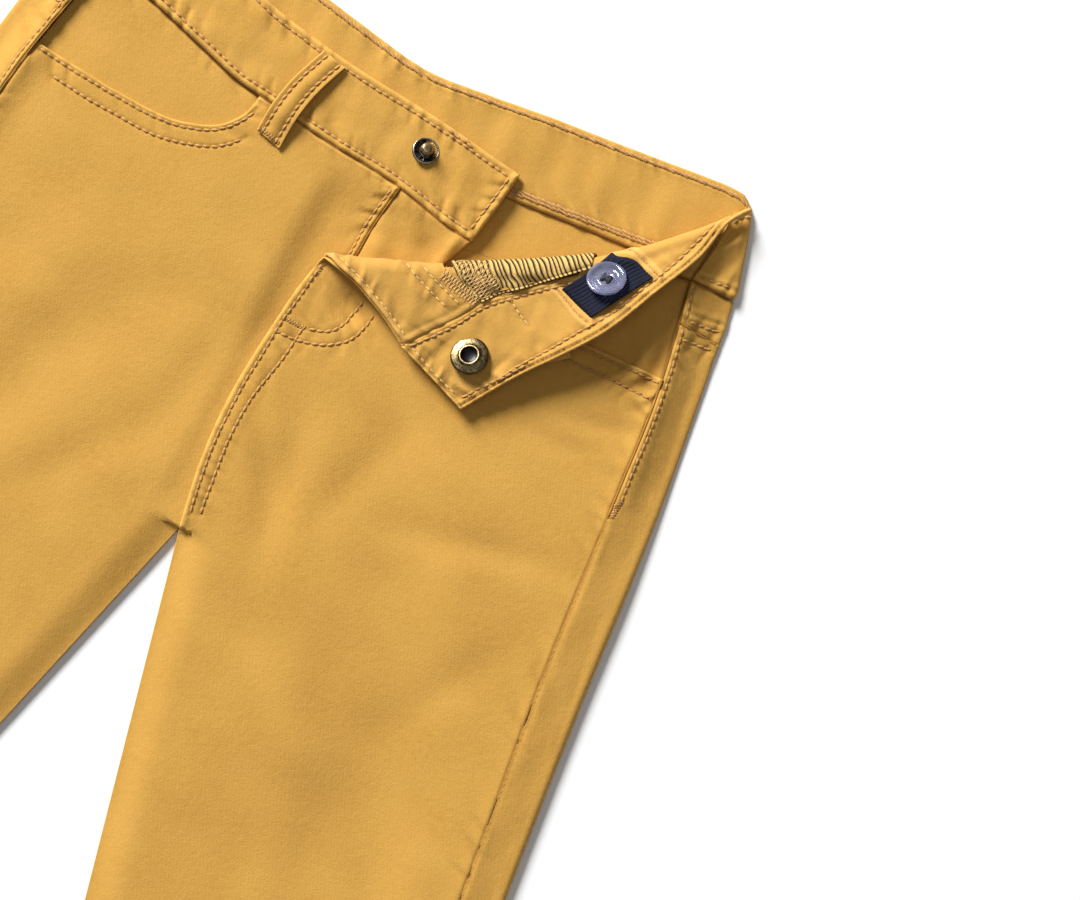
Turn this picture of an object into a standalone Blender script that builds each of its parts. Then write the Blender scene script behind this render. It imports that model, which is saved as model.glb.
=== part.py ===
"""A small child's twill trousers, lying flat on their back with the fly open.

The wearer's left front corner is turned out and down, so that its inside shows. Lengths are in
millimetres until a mesh is made. A place on the trousers is (x, v): x runs to the wearer's left from
the centre line, and v runs down the legs from the height of the side corners of the waist.
"""

from math import pi

import bmesh
import bpy
import numpy as np
from mathutils import Matrix, Vector
from mathutils.geometry import delaunay_2d_cdt

MM = 0.001

# Driving sizes, in millimetres.
CLOTH = 1.0  # the wall of one layer of twill
BAND = 2.4  # a waistband, which is two layers with a stiffener
SEAM = 0.3  # the gap at a seam
LAYER = 0.45  # the gap between layers that are turned over together
LEVEL = 4.2  # the underside of the fronts, above the surface that the trousers lie on
TOP = LEVEL + CLOTH
CROTCH_V = 214.0
HEM_INNER = (86.5, 558.0)
HEM_OUTER = (214.0, 533.0)
WAIST_V = -2.2  # the highest point of the back waistband
MIDDLE_V = (WAIST_V + HEM_INNER[1]) / 2
UNROLLED_FOLD = 130.0  # where the side fold is in a back piece's flat pattern
SNAP = 15.0  # diameter of the snap's socket
BUTTON = 15.5  # diameter of the waist button
TAPE = 1.2  # the wall of the belt loops and of the elastic
TAPE_WIDTH = 15.6  # the width of the elastic

# The side of the trousers: how far out its fold and its seam are at each height.
SIDE = (  # v, fold, seam
    (-3.0, 134.4, 131.5),
    (10.0, 139.9, 130.2),
    (25.0, 144.8, 128.8),
    (37.0, 147.0, 128.3),
    (56.0, 150.2, 132.5),
    (84.0, 154.6, 138.0),
    (119.0, 158.6, 142.0),
    (150.0, 162.0, 145.2),
    (257.0, 176.4, 158.7),
    (400.0, 196.0, 178.4),
    (HEM_OUTER[1], HEM_OUTER[0], 196.5),
    (580.0, 220.2, 202.8),
)
BACK_WAIST = (  # x, top edge of the back waistband, its lower seam
    (0.0, 14.6, 48.5),
    (32.0, 9.9, 45.0),
    (51.6, 6.9, 42.5),
    (76.6, 3.8, 39.6),
    (100.0, 0.7, 37.2),
    (115.7, -1.4, 36.2),
    (126.0, -2.4, 35.8),
    (132.0, -1.9, 35.8),
    (137.0, 0.6, 35.9),
    (147.0, 3.0, 36.0),
)
RIGHT_WAIST = (  # x, top edge of the slumped right front waistband, its lower seam
    (-130.5, -1.0, 37.0),
    (-105.0, 6.5, 41.0),
    (-80.0, 15.0, 47.5),
    (-60.0, 21.0, 52.5),
    (-44.0, 23.6, 53.8),
    (-25.6, 25.8, 56.1),
    (13.9, 28.5, 58.9),
    (36.8, 31.0, 63.0),
    (51.0, 32.6, 64.0),
)
POCKET = (  # x, v along the edge of the right pocket's scoop, from the waistband to the side seam
    (-51.5, 53.9),
    (-53.0, 61.0),
    (-59.0, 69.5),
    (-72.0, 75.8),
    (-100.0, 77.8),
    (-120.0, 76.8),
)
# The line that the left front is turned over: how far it sags below a straight line from the side
# corner, and the inner radius of its bend, at each distance along that line.
TURN = (  # along, sag, radius
    (-190.0, -1.6, 2.0),
    (-166.0, -0.4, 2.1),
    (-145.0, 4.2, 2.4),
    (-122.0, 8.6, 2.6),
    (-100.0, 11.0, 2.8),
    (-80.0, 12.3, 2.8),
    (-62.0, 12.4, 2.6),
    (-45.0, 10.6, 2.4),
    (-30.0, 7.8, 2.2),
    (-15.0, 4.4, 2.0),
    (0.0, 0.0, 1.9),
)
TURN_BACK = 2.0  # how much further than its inner radius the bend reaches
CORNER = np.array((135.4, 0.0))
ALONG = np.array((0.8177, -0.5757))  # from the fly to the side corner
ACROSS = np.array((-0.5757, -0.8177))  # from that line towards the waist
# How high the outside face of the turned-out corner is held above the front that it lies on.
HELD = (  # along, height at its free edge
    (-170.0, 2.4),
    (-141.0, 2.0),
    (-121.0, 2.2),
    (-97.0, 7.0),
    (-63.0, 11.0),
    (-41.0, 9.0),
    (-20.0, 6.0),
    (0.0, 2.6),
)
EDGE_SLOPE = 0.46  # distance from the fold to the free edge, for each mm along the fold
# The largest soft folds of the two fronts: ridges are up and troughs are down.
FOLDS = (  # x, v, heading in degrees, half length, half width, height
    (60.0, 150.0, 62.0, 70.0, 16.0, -1.0),
    (98.0, 172.0, 66.0, 80.0, 17.0, 0.9),
    (40.0, 205.0, 40.0, 46.0, 12.0, 0.8),
    (112.0, 262.0, 72.0, 90.0, 18.0, -1.2),
    (70.0, 250.0, 75.0, 60.0, 12.0, 0.7),
    (150.0, 380.0, 80.0, 80.0, 16.0, -0.9),
    (-60.0, 150.0, 118.0, 70.0, 16.0, -1.0),
    (-98.0, 172.0, 114.0, 80.0, 17.0, 0.9),
    (-40.0, 205.0, 140.0, 46.0, 12.0, 0.8),
    (-112.0, 262.0, 108.0, 90.0, 18.0, -1.2),
    (-70.0, 250.0, 105.0, 60.0, 12.0, 0.7),
    (-150.0, 380.0, 100.0, 80.0, 16.0, -0.9),
)

MUSTARD = (0.62, 0.36, 0.075)
STRIPED = (0.5, 0.32, 0.1)
NAVY = (0.012, 0.016, 0.05)
CLEAR_BLUE = (0.33, 0.37, 0.5)
BRASS = (0.24, 0.17, 0.08)


# ---- Curves and heights ----


def through(rows, at, column=1):
    """A smooth curve through one column of a table, level beyond its ends."""
    xs, ys = (np.array([row[k] for row in rows]) for k in (0, column))
    slopes = np.gradient(ys, xs)
    at = np.clip(at, xs[0], xs[-1])
    i = np.clip(np.searchsorted(xs, at) - 1, 0, len(xs) - 2)
    gap = xs[i + 1] - xs[i]
    t = (at - xs[i]) / gap
    start = (1 + 2 * t) * (1 - t) ** 2 * ys[i] + t * (1 - t) ** 2 * gap * slopes[i]
    end = t * t * (3 - 2 * t) * ys[i + 1] - t * t * (1 - t) * gap * slopes[i + 1]
    return start + end


def ramp(at, low, high):
    """From 0 at low to 1 at high, smoothly."""
    t = np.clip((at - low) / (high - low), 0, 1)
    return t * t * (3 - 2 * t)


def fold_line(v):
    return through(SIDE, v, 1)


def side_seam(v):
    return through(SIDE, v, 2)


def inseam(v):
    """How far the inner edge of a leg is from the centre line."""
    return (v - CROTCH_V) * HEM_INNER[0] / (HEM_INNER[1] - CROTCH_V)


def hem(x):
    """The height of the hem at a distance from the centre line."""
    slope = (HEM_OUTER[1] - HEM_INNER[1]) / (HEM_OUTER[0] - HEM_INNER[0])
    return HEM_INNER[1] + (x - HEM_INNER[0]) * slope


def yoke_seam(x):
    """The height of the yoke's lower seam at a distance from the centre line."""
    return 75.0 - 0.163 * x


def soft_folds(x, v):
    """The height that the largest folds add to a front."""
    total = 0.0
    for at_x, at_v, heading, long, wide, height in FOLDS:
        c = np.cos(np.radians(heading))
        s = np.sin(np.radians(heading))
        run = ((x - at_x) * c + (v - at_v) * s) / long
        off = (-(x - at_x) * s + (v - at_v) * c) / wide
        total = total + height * np.exp(-run * run - off * off)
    return total


def front_top(x, v):
    """The height of the outside face of a front, before anything presses it down."""
    to_fold = fold_line(v) - np.abs(x)
    free = ramp(to_fold, 18, 45) * ramp(v, 118, 145)
    to_inseam = np.where(v > CROTCH_V, np.abs(x) - inseam(v), 99.0)
    flat = CLOTH + SEAM + CLOTH
    return flat + (TOP + soft_folds(x, v) * free - flat) * ramp(to_inseam, -1, 14)


def right_top(x, v):
    """The right front sinks beside the fly, where the left front lies over it."""
    sunk = ramp(x, -18, -6) * ramp(v, 60, 79) * (1 - ramp(v, 126, 152))
    return front_top(x, v) - (LEVEL - CLOTH - SEAM) * sunk


# ---- How each part of the trousers lies ----
# A piece is cut flat, and n is the distance outwards from a layer's reference face.


def bend_of(thick):
    """The inside radius of the side fold of a back piece, and the length of its bend."""
    inside = (LEVEL - CLOTH) / 2 if thick == CLOTH else 0.5
    return inside, pi * (inside + thick / 2)


def under(x, v, thick=CLOTH):
    """The pattern point of a place on the back's lower layer."""
    inside, _ = bend_of(thick)
    return (x * UNROLLED_FOLD / (fold_line(v) - inside - thick), v)


def over(x, v, thick=CLOTH):
    """The pattern point of a place on the strip that the back turns over to the front."""
    inside, bend = bend_of(thick)
    return (UNROLLED_FOLD + bend + fold_line(v) - inside - thick - x, v)


def lie_back(p, v, n, thick=CLOTH):
    """Places a back piece: flat, then round the side fold. n runs from 0, its inside, to thick."""
    inside, bend = bend_of(thick)
    start = fold_line(v) - inside - thick
    past = np.abs(p) - UNROLLED_FOLD
    turn = np.clip(past / bend, 0, 1) * pi
    flat_x = np.where(past < 0, start * np.abs(p) / UNROLLED_FOLD, start)
    x = flat_x + (inside + n) * np.sin(turn) - np.maximum(past - bend, 0)
    z = thick + inside - (inside + n) * np.cos(turn)
    return np.sign(p) * x, v, z


def lie_right(x, v, n):
    return x, v, right_top(x, v) + n


def along_turn(x, v):
    """The distance along the turned-over line, and the distance across it."""
    x, v = x - CORNER[0], v - CORNER[1]
    return x * ALONG[0] + v * ALONG[1], x * ACROSS[0] + v * ACROSS[1]


def lay(x, v):
    """The pattern point of a place on the left front's lower part."""
    a, across = along_turn(x, v)
    return (a, across + through(TURN, a, 1))


def turned(x, v):
    """The pattern point of a place on the left front's turned-out corner."""
    a, across = along_turn(x, v)
    return (a, -across - through(TURN, a, 1))


def held(a, s):
    """The height of the corner's outside face above the front that it lies on."""
    bend = 2 * through(TURN, a, 2)
    share = ramp(s / np.maximum(EDGE_SLOPE * np.abs(a), 6), 0.05, 1)
    return bend + (through(HELD, a) - bend) * share


def lie_left(a, s, n):
    """Places a piece of the left front: flat, round the bend, then lying inside up."""
    radius = through(TURN, a, 2)
    reach = radius + TURN_BACK
    sag = through(TURN, a, 1)
    turn = np.clip((s + reach) / (2 * reach), 0, 1) * pi
    past = np.maximum(np.abs(s) - reach, 0)
    across = -sag - reach - past + (radius - n) * np.sin(turn)
    x = CORNER[0] + a * ALONG[0] + across * ACROSS[0]
    v = CORNER[1] + a * ALONG[1] + across * ACROSS[1]
    start = -sag - reach
    base_x = CORNER[0] + a * ALONG[0] + start * ACROSS[0]
    base_v = CORNER[1] + a * ALONG[1] + start * ACROSS[1]
    flat = front_top(np.where(s < -reach, x, base_x), np.where(s < -reach, v, base_v))
    rise = radius - (radius - n) * np.cos(turn)
    lifted = (held(a, np.maximum(s - reach, 0)) - 2 * radius) * (s > reach)
    return x, v, flat + rise + lifted


# ---- Meshes ----


def paint(name, color, roughness, metallic=0.0):
    material = bpy.data.materials.new(name)
    material.use_nodes = True
    shader = material.node_tree.nodes["Principled BSDF"]
    shader.inputs["Base Color"].default_value = (*color, 1)
    shader.inputs["Roughness"].default_value = roughness
    shader.inputs["Metallic"].default_value = metallic
    return material


def add(name, bm, color, roughness=0.9, metallic=0.0):
    """Makes an object of a bmesh whose points are in millimetres from the centre of the waist."""
    bmesh.ops.triangulate(bm, faces=bm.faces[:])
    bmesh.ops.recalc_face_normals(bm, faces=bm.faces[:])
    if bm.calc_volume(signed=True) < 0:
        bmesh.ops.reverse_faces(bm, faces=bm.faces[:])
    for vert in bm.verts:
        x, v, z = vert.co
        vert.co = Vector((x, MIDDLE_V - v, z)) * MM
    bmesh.ops.reverse_faces(bm, faces=bm.faces[:])
    mesh = bpy.data.meshes.new(name)
    bm.to_mesh(mesh)
    bm.free()
    mesh.shade_smooth()
    mesh.set_sharp_from_angle(angle=pi / 4)
    mesh.materials.append(paint(name, color, roughness, metallic))
    part = bpy.data.objects.new(name, mesh)
    bpy.context.scene.collection.objects.link(part)
    return part


def split_outline(outline, columns, rows):
    """The outline with a point wherever it crosses a row, and a column unless that is too near."""
    points = []
    for here, there in zip(outline, outline[1:] + outline[:1]):
        here, there = np.array(here), np.array(there)
        length = np.hypot(*(there - here))
        shares = [0.0]
        for axis, levels in ((1, rows), (0, columns)):
            for level in levels:
                if (here[axis] - level) * (there[axis] - level) < 0:
                    share = (level - here[axis]) / (there[axis] - here[axis])
                    near = min(abs(share - other) for other in shares + [1.0]) * length
                    if near > (0.7 if axis == 0 else 0.05):
                        shares.append(share)
        points += [here + share * (there - here) for share in sorted(shares)]
    return points


def depth_in(points, outline):
    """How far each point is inside an outline, or minus how far it is outside."""
    a = np.array(outline)
    edge = np.roll(a, -1, axis=0) - a
    depths = []
    for x, y in points:
        crosses = (a[:, 1] > y) != (a[:, 1] + edge[:, 1] > y)
        slope = edge[:, 0] / np.where(crosses, edge[:, 1], 1)
        odd = (crosses & (x < a[:, 0] + (y - a[:, 1]) * slope)).sum() % 2
        t = ((x - a[:, 0]) * edge[:, 0] + (y - a[:, 1]) * edge[:, 1]) / (edge**2).sum(1)
        near = a + np.clip(t, 0, 1)[:, None] * edge
        away = np.hypot(near[:, 0] - x, near[:, 1] - y).min()
        depths.append(away if odd else -away)
    return np.array(depths)


def line_edges(points, axis, levels, outline):
    """Edges between neighbouring points on each grid line, where they run inside the piece."""
    edges = []
    for level in levels:
        on = np.flatnonzero(np.abs(points[:, axis] - level) < 1e-6)
        on = on[np.argsort(points[on, 1 - axis])]
        if len(on) > 1:
            middles = (points[on[:-1]] + points[on[1:]]) / 2
            inside = depth_in(middles, outline) > 1e-4
            edges += [(int(i), int(j)) for i, j, keep in zip(on, on[1:], inside) if keep]
    return edges


def cut_flat(outline, columns, rows):
    """Cuts a flat piece: its points, its triangles, and its boundary edges."""
    rim = np.array(split_outline(outline, columns, rows))
    grid = np.array([(x, y) for x in columns for y in rows])
    points = np.vstack([rim, grid[depth_in(grid, rim) > 0.7]])
    edges = line_edges(points, 0, columns, rim) + line_edges(points, 1, rows, rim)
    found = delaunay_2d_cdt(
        [Vector(p) for p in points], edges, [list(range(len(rim)))], 1, 1e-5
    )
    flat = np.array([tuple(p) for p in found[0]])
    triangles = [tuple(face) for face in found[2]]
    directed = {(i, j) for face in triangles for i, j in zip(face, face[1:] + face[:1])}
    boundary = [(i, j) for i, j in directed if (j, i) not in directed]
    return flat, triangles, sorted(boundary)


def cloth(name, outline, columns, rows, lie, outer, inner, color=MUSTARD):
    """A closed wall of cloth between two distances from its reference face."""
    flat, triangles, boundary = cut_flat(outline, columns, rows)
    bm = bmesh.new()
    layers = []
    for n in (outer, inner):
        x, v, z = lie(flat[:, 0], flat[:, 1], n)
        layers.append([bm.verts.new(p) for p in zip(x, np.broadcast_to(v, x.shape), z)])
    top, bottom = layers
    for a, b, c in triangles:
        bm.faces.new((top[a], top[b], top[c]))
        bm.faces.new((bottom[c], bottom[b], bottom[a]))
    for a, b in boundary:
        bm.faces.new((top[b], top[a], bottom[a], bottom[b]))
    return add(name, bm, color)


def steps(first, last, size):
    """Evenly spaced values from first to last, about size apart."""
    count = max(1, round(abs(last - first) / size))
    return [first + (last - first) * i / count for i in range(count + 1)]


def offset(points, x, v):
    return [(px + x, pv + v) for px, pv in points]


SEAM_LEVELS = steps(76.0, 516.0, 22)  # heights of the points along the side seam, front and back
HEM_SEAM_V = HEM_OUTER[1] + 3.4  # where the side seam meets the hem


# ---- Back ----

ARC_STEPS = 5


def back_columns(thick=CLOTH):
    _, bend = bend_of(thick)
    inner = [-8.0, 25.0, 50.0, 75.0, 100.0, 118.0]
    arc = [UNROLLED_FOLD + bend * i / ARC_STEPS for i in range(ARC_STEPS + 1)]
    return inner + arc + [UNROLLED_FOLD + bend + 7.0]


def back_piece(name, side, outline, rows):
    outline = [(side * p, v) for p, v in outline]
    columns = [side * p for p in back_columns()]
    cloth(name, outline, columns, rows, lie_back, CLOTH, 0.0)


def make_back_panel(name, side):
    """From the yoke's seam to the hem, and round the side fold to the front's side seam."""
    gap = SEAM / 2
    centre = [under(gap, v) for v in steps(yoke_seam(0) + gap, CROTCH_V, 30)]
    inner = [under(inseam(v) + gap, v) for v in steps(CROTCH_V, HEM_INNER[1], 45)]
    hem_run = [under(x, hem(x)) for x in steps(HEM_INNER[0] + 20, HEM_OUTER[0] - 4, 25)]
    turned_hem = [over(HEM_OUTER[0] - 2.5, HEM_OUTER[1])]
    levels = [HEM_SEAM_V] + SEAM_LEVELS[::-1] + [54.0]
    seam_run = [over(side_seam(v) + gap, v) for v in levels]
    yoke_run = [under(x, yoke_seam(x) + gap) for x in steps(146.0, 25.0, 25)]
    outline = centre + inner[1:] + hem_run + turned_hem + seam_run + yoke_run
    back_piece(name, side, outline, SEAM_LEVELS + [HEM_OUTER[1]])


def make_yoke(name, side):
    """Between the back waistband and the back panel, and round the side fold."""
    gap = SEAM / 2
    lower = [under(x, yoke_seam(x) - gap) for x in steps(gap, 146.0, 25)]
    lower.append(over(side_seam(53.6) + gap, 53.6))
    upper = [over(side_seam(37.2) + gap, 37.2)]
    upper += [under(x, through(BACK_WAIST, x, 2) + gap) for x in steps(142.0, gap, 25)]
    back_piece(name, side, lower + upper, [45.0, 56.0])


def make_back_waistband():
    """The back waistband goes round both side folds to the seams near the front corners."""
    gap = SEAM / 2
    _, bend = bend_of(BAND)

    def half(side):
        top = [under(x, through(BACK_WAIST, x, 1), BAND) for x in steps(0, 131.0, 13)]
        top += [over(136.0, 1.5, BAND), over(side_seam(6.5) + gap, 6.5, BAND)]
        low = [over(side_seam(36.7) + gap, 36.7, BAND)]
        low += [
            under(x, through(BACK_WAIST, x, 2) - gap, BAND) for x in steps(143.0, 0, 24)
        ]
        return [(side * p, v) for p, v in top], [(side * p, v) for p, v in low]

    left_top_run, left_low = half(1)
    right_top_run, right_low = half(-1)
    outline = left_top_run + left_low[:-1] + right_low[::-1] + right_top_run[:0:-1]
    arc = [UNROLLED_FOLD + bend * i / ARC_STEPS for i in range(ARC_STEPS + 1)]
    half_columns = [20.0, 45.0, 70.0, 95.0, 115.0] + arc
    columns = [-c for c in half_columns[::-1]] + [0.0] + half_columns

    def lie(p, v, n):
        return lie_back(p, v, n, BAND)

    cloth("waistband_back", outline, columns, [10.0, 22.0], lie, BAND, 0.0)


# ---- Right front ----

BAND_OUT = 0.9  # a front waistband's outside, above the outside of the front below it
BAND_IN = BAND_OUT - BAND
FLY_SEAM = ((12.7, 59.3), (10.3, 79.0), (9.9, 91.0), (5.0, 110.0), (0.2, 126.0))
SHIELD_EDGE = ((12.0, 119.0), (28.0, 104.0), (38.0, 88.0), (41.5, 76.6), (46.3, 64.5))


def make_front_right():
    gap = SEAM / 2
    waist = [(x, through(RIGHT_WAIST, x, 2) + gap) for x in steps(-51.5, 12.5, 16)]
    fly = offset(FLY_SEAM[1:], -gap, 0)
    inner = [(-inseam(v) - gap, v) for v in steps(CROTCH_V, HEM_INNER[1], 70)]
    hem_run = [(-x, hem(x)) for x in (130.0, 170.0)] + [(gap - side_seam(HEM_SEAM_V), HEM_SEAM_V)]
    seam_run = [(-side_seam(v) + gap, v) for v in SEAM_LEVELS[::-1]]
    outline = waist + fly + [(-gap, 170.0)] + inner + hem_run + seam_run + list(POCKET)[:0:-1]
    columns = steps(-190, -30, 18) + [-18.0, -12.0, -6.0]
    rows = [68.0, 78.0, 88.0] + steps(102, 540, 24)
    cloth("front_right", outline, columns, rows, lie_right, 0.0, -CLOTH)


def make_pocket_facing_right():
    """The hip cloth that closes the scoop from behind."""
    gap = SEAM / 2
    top = [(x, through(RIGHT_WAIST, x, 2) + gap) for x in steps(-128.0, -40.0, 18)]
    inner = [(-42.0, 74.0), (-56.0, 86.0), (-95.0, 91.0), (-side_seam(89.0) + gap, 89.0)]
    side = [(-side_seam(v) + gap, v) for v in (75.0, 56.0, 44.0)]
    n = -CLOTH - SEAM
    cloth(
        "pocket_facing_right", top + inner + side, steps(-125, -45, 16), [52.0, 66.0, 80.0],
        lie_right, n, n - CLOTH,
    )


def make_waistband_right():
    top = [(x, through(RIGHT_WAIST, x, 1)) for x in steps(-130.0, 51.0, 14)]
    low = [(x, through(RIGHT_WAIST, x, 2) - SEAM / 2) for x in steps(46.8, -128.2, 14)]
    cloth(
        "waistband_right", top + low, steps(-118, 40, 14), [14.0, 28.0, 42.0, 54.0],
        lie_right, BAND_OUT, BAND_IN,
    )


def make_fly_shield():
    """The under-lap beyond the right front's fly seam."""
    seam = offset(FLY_SEAM, SEAM / 2, 0.2)
    top = [(x, through(RIGHT_WAIST, x, 2) + SEAM / 2) for x in (36.0, 26.0)]
    cloth(
        "fly_shield", seam[::-1] + [(12.9, 59.2)] + top[::-1] + list(SHIELD_EDGE)[::-1],
        [14.0, 22.0, 30.0, 38.0], [64.0, 70.0, 76.0, 84.0, 96.0, 108.0],
        lie_right, 0.0, -CLOTH,
    )


# ---- Left front ----

# Places on the turned-out corner, seen from above.
FLY_FREE = ((5.2, 94.9), (12.5, 97.0), (20.6, 100.6), (27.2, 104.2), (33.3, 107.8), (42.2, 111.8))
BAND_SEAM = ((50.4, 100.6), (55.3, 93.9), (62.8, 80.8), (71.6, 72.1), (77.9, 66.0), (89.1, 55.9))
BAND_EDGE = (
    (131.0, 9.8), (127.0, 27.7), (118.7, 47.5), (108.2, 71.5), (98.5, 86.0), (87.8, 100.5),
)
BAND_TIP = ((74.1, 122.8), (42.5, 112.3))
BAND_FOLDED = ((93.9, 49.4), (100.0, 45.3), (112.0, 40.0), (124.7, 36.9))  # to the side seam
SEAM_SHIFT = (-0.776, -0.631)  # from the turned waistband towards the front panel


BEND_ROWS = [-6.4, -4.8, -3.2, -1.6, 0.0, 1.6, 3.2, 4.8, 6.4]  # across the bend
TURN_ROWS = [-54.0, -40.0, -28.0, -16.0] + BEND_ROWS + [12.0, 20.0, 28.0, 36.0, 46.0]
TURN_COLUMNS = steps(-184.0, -4.0, 9)  # along the bend


def beside_band(points, gap=SEAM):
    return offset(points, SEAM_SHIFT[0] * gap, SEAM_SHIFT[1] * gap)


def make_front_left():
    gap = SEAM / 2
    centre = [(gap, v) for v in steps(CROTCH_V, 130.0, 28)] + [(-1.0, 125.0), (-1.3, 101.0)]
    scoop = [(65.2, 69.4), (70.0, 74.0), (82.0, 77.4), (100.0, 77.8), (120.0, 76.4)]
    seam_run = [(side_seam(v) - gap, v) for v in SEAM_LEVELS]
    hem_run = [(side_seam(HEM_SEAM_V) - gap, HEM_SEAM_V)] + [(x, hem(x)) for x in (165.0, 125.0)]
    inner = [(inseam(v) + gap, v) for v in steps(HEM_INNER[1], CROTCH_V, 70)]
    outline = [lay(*p) for p in centre]
    outline += [turned(*p) for p in FLY_FREE]
    outline += [turned(*p) for p in beside_band(BAND_SEAM[:4])]
    outline += [turned(62.6, 66.4)]
    outline += [lay(*p) for p in scoop + seam_run + hem_run + inner[:-1]]
    columns = steps(-390, -200, 24) + TURN_COLUMNS
    rows = steps(-510, -78, 24) + TURN_ROWS
    cloth("front_left", outline, columns, rows, lie_left, 0.0, -CLOTH)


def make_waistband_left():
    edge = [turned(*p) for p in BAND_EDGE + BAND_TIP]
    seam = [turned(*p) for p in BAND_SEAM]
    folded = [lay(*p) for p in BAND_FOLDED[1:] + ((128.1, 36.9), (130.0, 10.0))]
    cloth(
        "waistband_left", edge + seam + folded, TURN_COLUMNS, TURN_ROWS, lie_left,
        BAND_OUT, BAND_IN,
    )


def make_fly_facing():
    """The facing inside the left fly edge, up to its overlocked side."""
    n = -CLOTH - LAYER
    free = [turned(*p) for p in offset(FLY_FREE[:-1], 0.6, 0.8)] + [turned(41.2, 110.6)]
    seam = [turned(*p) for p in beside_band(BAND_SEAM[:2], 0.9)] + [turned(60.0, 82.4)]
    serged = [turned(50.0, 80.6)]
    hidden = [(43.9, 83.2), (36.0, 100.0), (24.0, 114.0), (6.0, 124.0), (0.6, 121.0), (0.0, 103.0)]
    outline = free + seam + serged + [lay(*p) for p in hidden]
    cloth("fly_facing", outline, TURN_COLUMNS, TURN_ROWS, lie_left, n, n - CLOTH)


def make_pocket_facing_left():
    gap = SEAM / 2
    n = -CLOTH - LAYER
    seam = [turned(*p) for p in beside_band(((67.0, 76.6),) + BAND_SEAM[3:], 0.9)]
    folded = [lay(*p) for p in offset(BAND_FOLDED[1:] + ((128.0, 36.9),), 0, 0.5)]
    side = [lay(side_seam(v) - gap, v) for v in (44.0, 56.0, 75.0, 89.0)]
    hidden = [lay(*p) for p in ((120.0, 91.0), (88.0, 91.0), (70.0, 85.0), (63.0, 79.0))]
    outline = seam + folded + side + hidden + [turned(56.5, 70.5)]
    cloth("pocket_facing_left", outline, TURN_COLUMNS, TURN_ROWS, lie_left, n, n - CLOTH)


def make_pocket_bag_left():
    """The striped bag of the left pocket, which shows between the facing and the waistband."""
    n = -2 * (CLOTH + LAYER)
    seam = [turned(*p) for p in beside_band(((61.5, 82.2),) + BAND_SEAM[3:], 1.1)]
    folded = [lay(*p) for p in ((97.0, 52.0), (112.0, 62.0), (118.0, 92.0), (108.0, 114.0))]
    hidden = [lay(*p) for p in ((88.0, 118.0), (66.0, 116.0), (54.0, 108.0), (51.0, 86.0))]
    outline = seam + folded + hidden + [turned(50.5, 79.0)]
    cloth(
        "pocket_bag_left", outline, TURN_COLUMNS, TURN_ROWS, lie_left, n, n - CLOTH, STRIPED
    )


# ---- Trims ----


def strip(start, end, width):
    """The corners of a straight strip of cloth."""
    start, end = np.array(start), np.array(end)
    run = (end - start) / np.hypot(*(end - start))
    side = np.array((-run[1], run[0])) * width / 2
    return [tuple(p) for p in (start + side, end + side, end - side, start - side)]


LOOP_WIDTH = 11.0
LOOP_TOP = (-32.6, 27.4)
LOOP_END = (-40.6, 66.6)
LOOP_STAND = 1.6  # how far the middle of a belt loop stands off the waistband


def lie_loop(x, v, n):
    """A belt loop lies over the right waistband and comes down on the front below it."""
    share = (v - LOOP_TOP[1]) / (LOOP_END[1] - LOOP_TOP[1])
    band = BAND_OUT * (1 - ramp(share, 0.72, 0.92))
    stand = LOOP_STAND * np.sin(pi * np.clip(share, 0, 1)) ** 0.7
    return x, v, right_top(x, v) + band + SEAM + stand + n


def make_belt_loop_right():
    outline = strip(LOOP_TOP, LOOP_END, LOOP_WIDTH)
    cloth(
        "belt_loop_right", outline, [-37.0], [31.0, 36.0, 42.0, 48.0, 54.0, 58.0, 62.0],
        lie_loop, TAPE, 0.0,
    )


def make_belt_loop_left():
    """The left belt loop is under the turned-out waistband, and its top peeps out."""
    outline = [turned(*p) for p in strip((98.6, 90.3), (75.0, 62.0), LOOP_WIDTH)]
    n = BAND_OUT + LAYER
    cloth("belt_loop_left", outline, [-86.0, -82.0], [18.0, 28.0, 38.0], lie_left, n + TAPE, n)


def seat_on(x, v, n):
    """The place and the tilt of the turned waistband's inside face, seen from above."""
    def spot(dx, dv):
        a, s = turned(x + dx, v + dv)
        return Vector([float(c) for c in lie_left(a, s, n)])

    here = spot(0, 0)
    east, south = spot(2, 0) - here, spot(0, 2) - here
    up = east.cross(south).normalized()
    if up.z < 0:
        up = -up
    return here, up


SEGMENTS = 32  # round each turned piece


def turned_solid(name, profile, here, up, color, roughness, metallic):
    """A closed profile of (radius, height) points, spun about an axis."""
    bm = bmesh.new()
    rings = []
    for radius, height in profile:
        angles = [2 * pi * i / SEGMENTS for i in range(SEGMENTS if radius > 0 else 1)]
        spots = [(radius * np.cos(angle), radius * np.sin(angle), height) for angle in angles]
        rings.append([bm.verts.new(spot) for spot in spots])
    closed = profile[0][0] > 0
    pairs = list(zip(rings, rings[1:])) + ([(rings[-1], rings[0])] if closed else [])
    for low, high in pairs:
        for i in range(SEGMENTS):
            j = (i + 1) % SEGMENTS
            corners = [low[i % len(low)], low[j % len(low)]]
            corners += [high[j % len(high)], high[i % len(high)]]
            bm.faces.new(list(dict.fromkeys(corners)))
    tilt = Vector((0, 0, 1)).rotation_difference(up).to_matrix().to_4x4()
    bmesh.ops.transform(bm, matrix=Matrix.Translation(here) @ tilt, verts=bm.verts[:])
    return add(name, bm, color, roughness, metallic)


# Where the middles of the round pieces are, seen from above.
SOCKET_AT = (67.5, 103.2)
BUTTON_AT = (99.9, 53.3)
STUD_AT = (14.8, 41.9)
SOCKET_BORE = 6.4
HOLE = 1.5  # diameter of each of the button's four holes
HOLE_APART = 2.5


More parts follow.
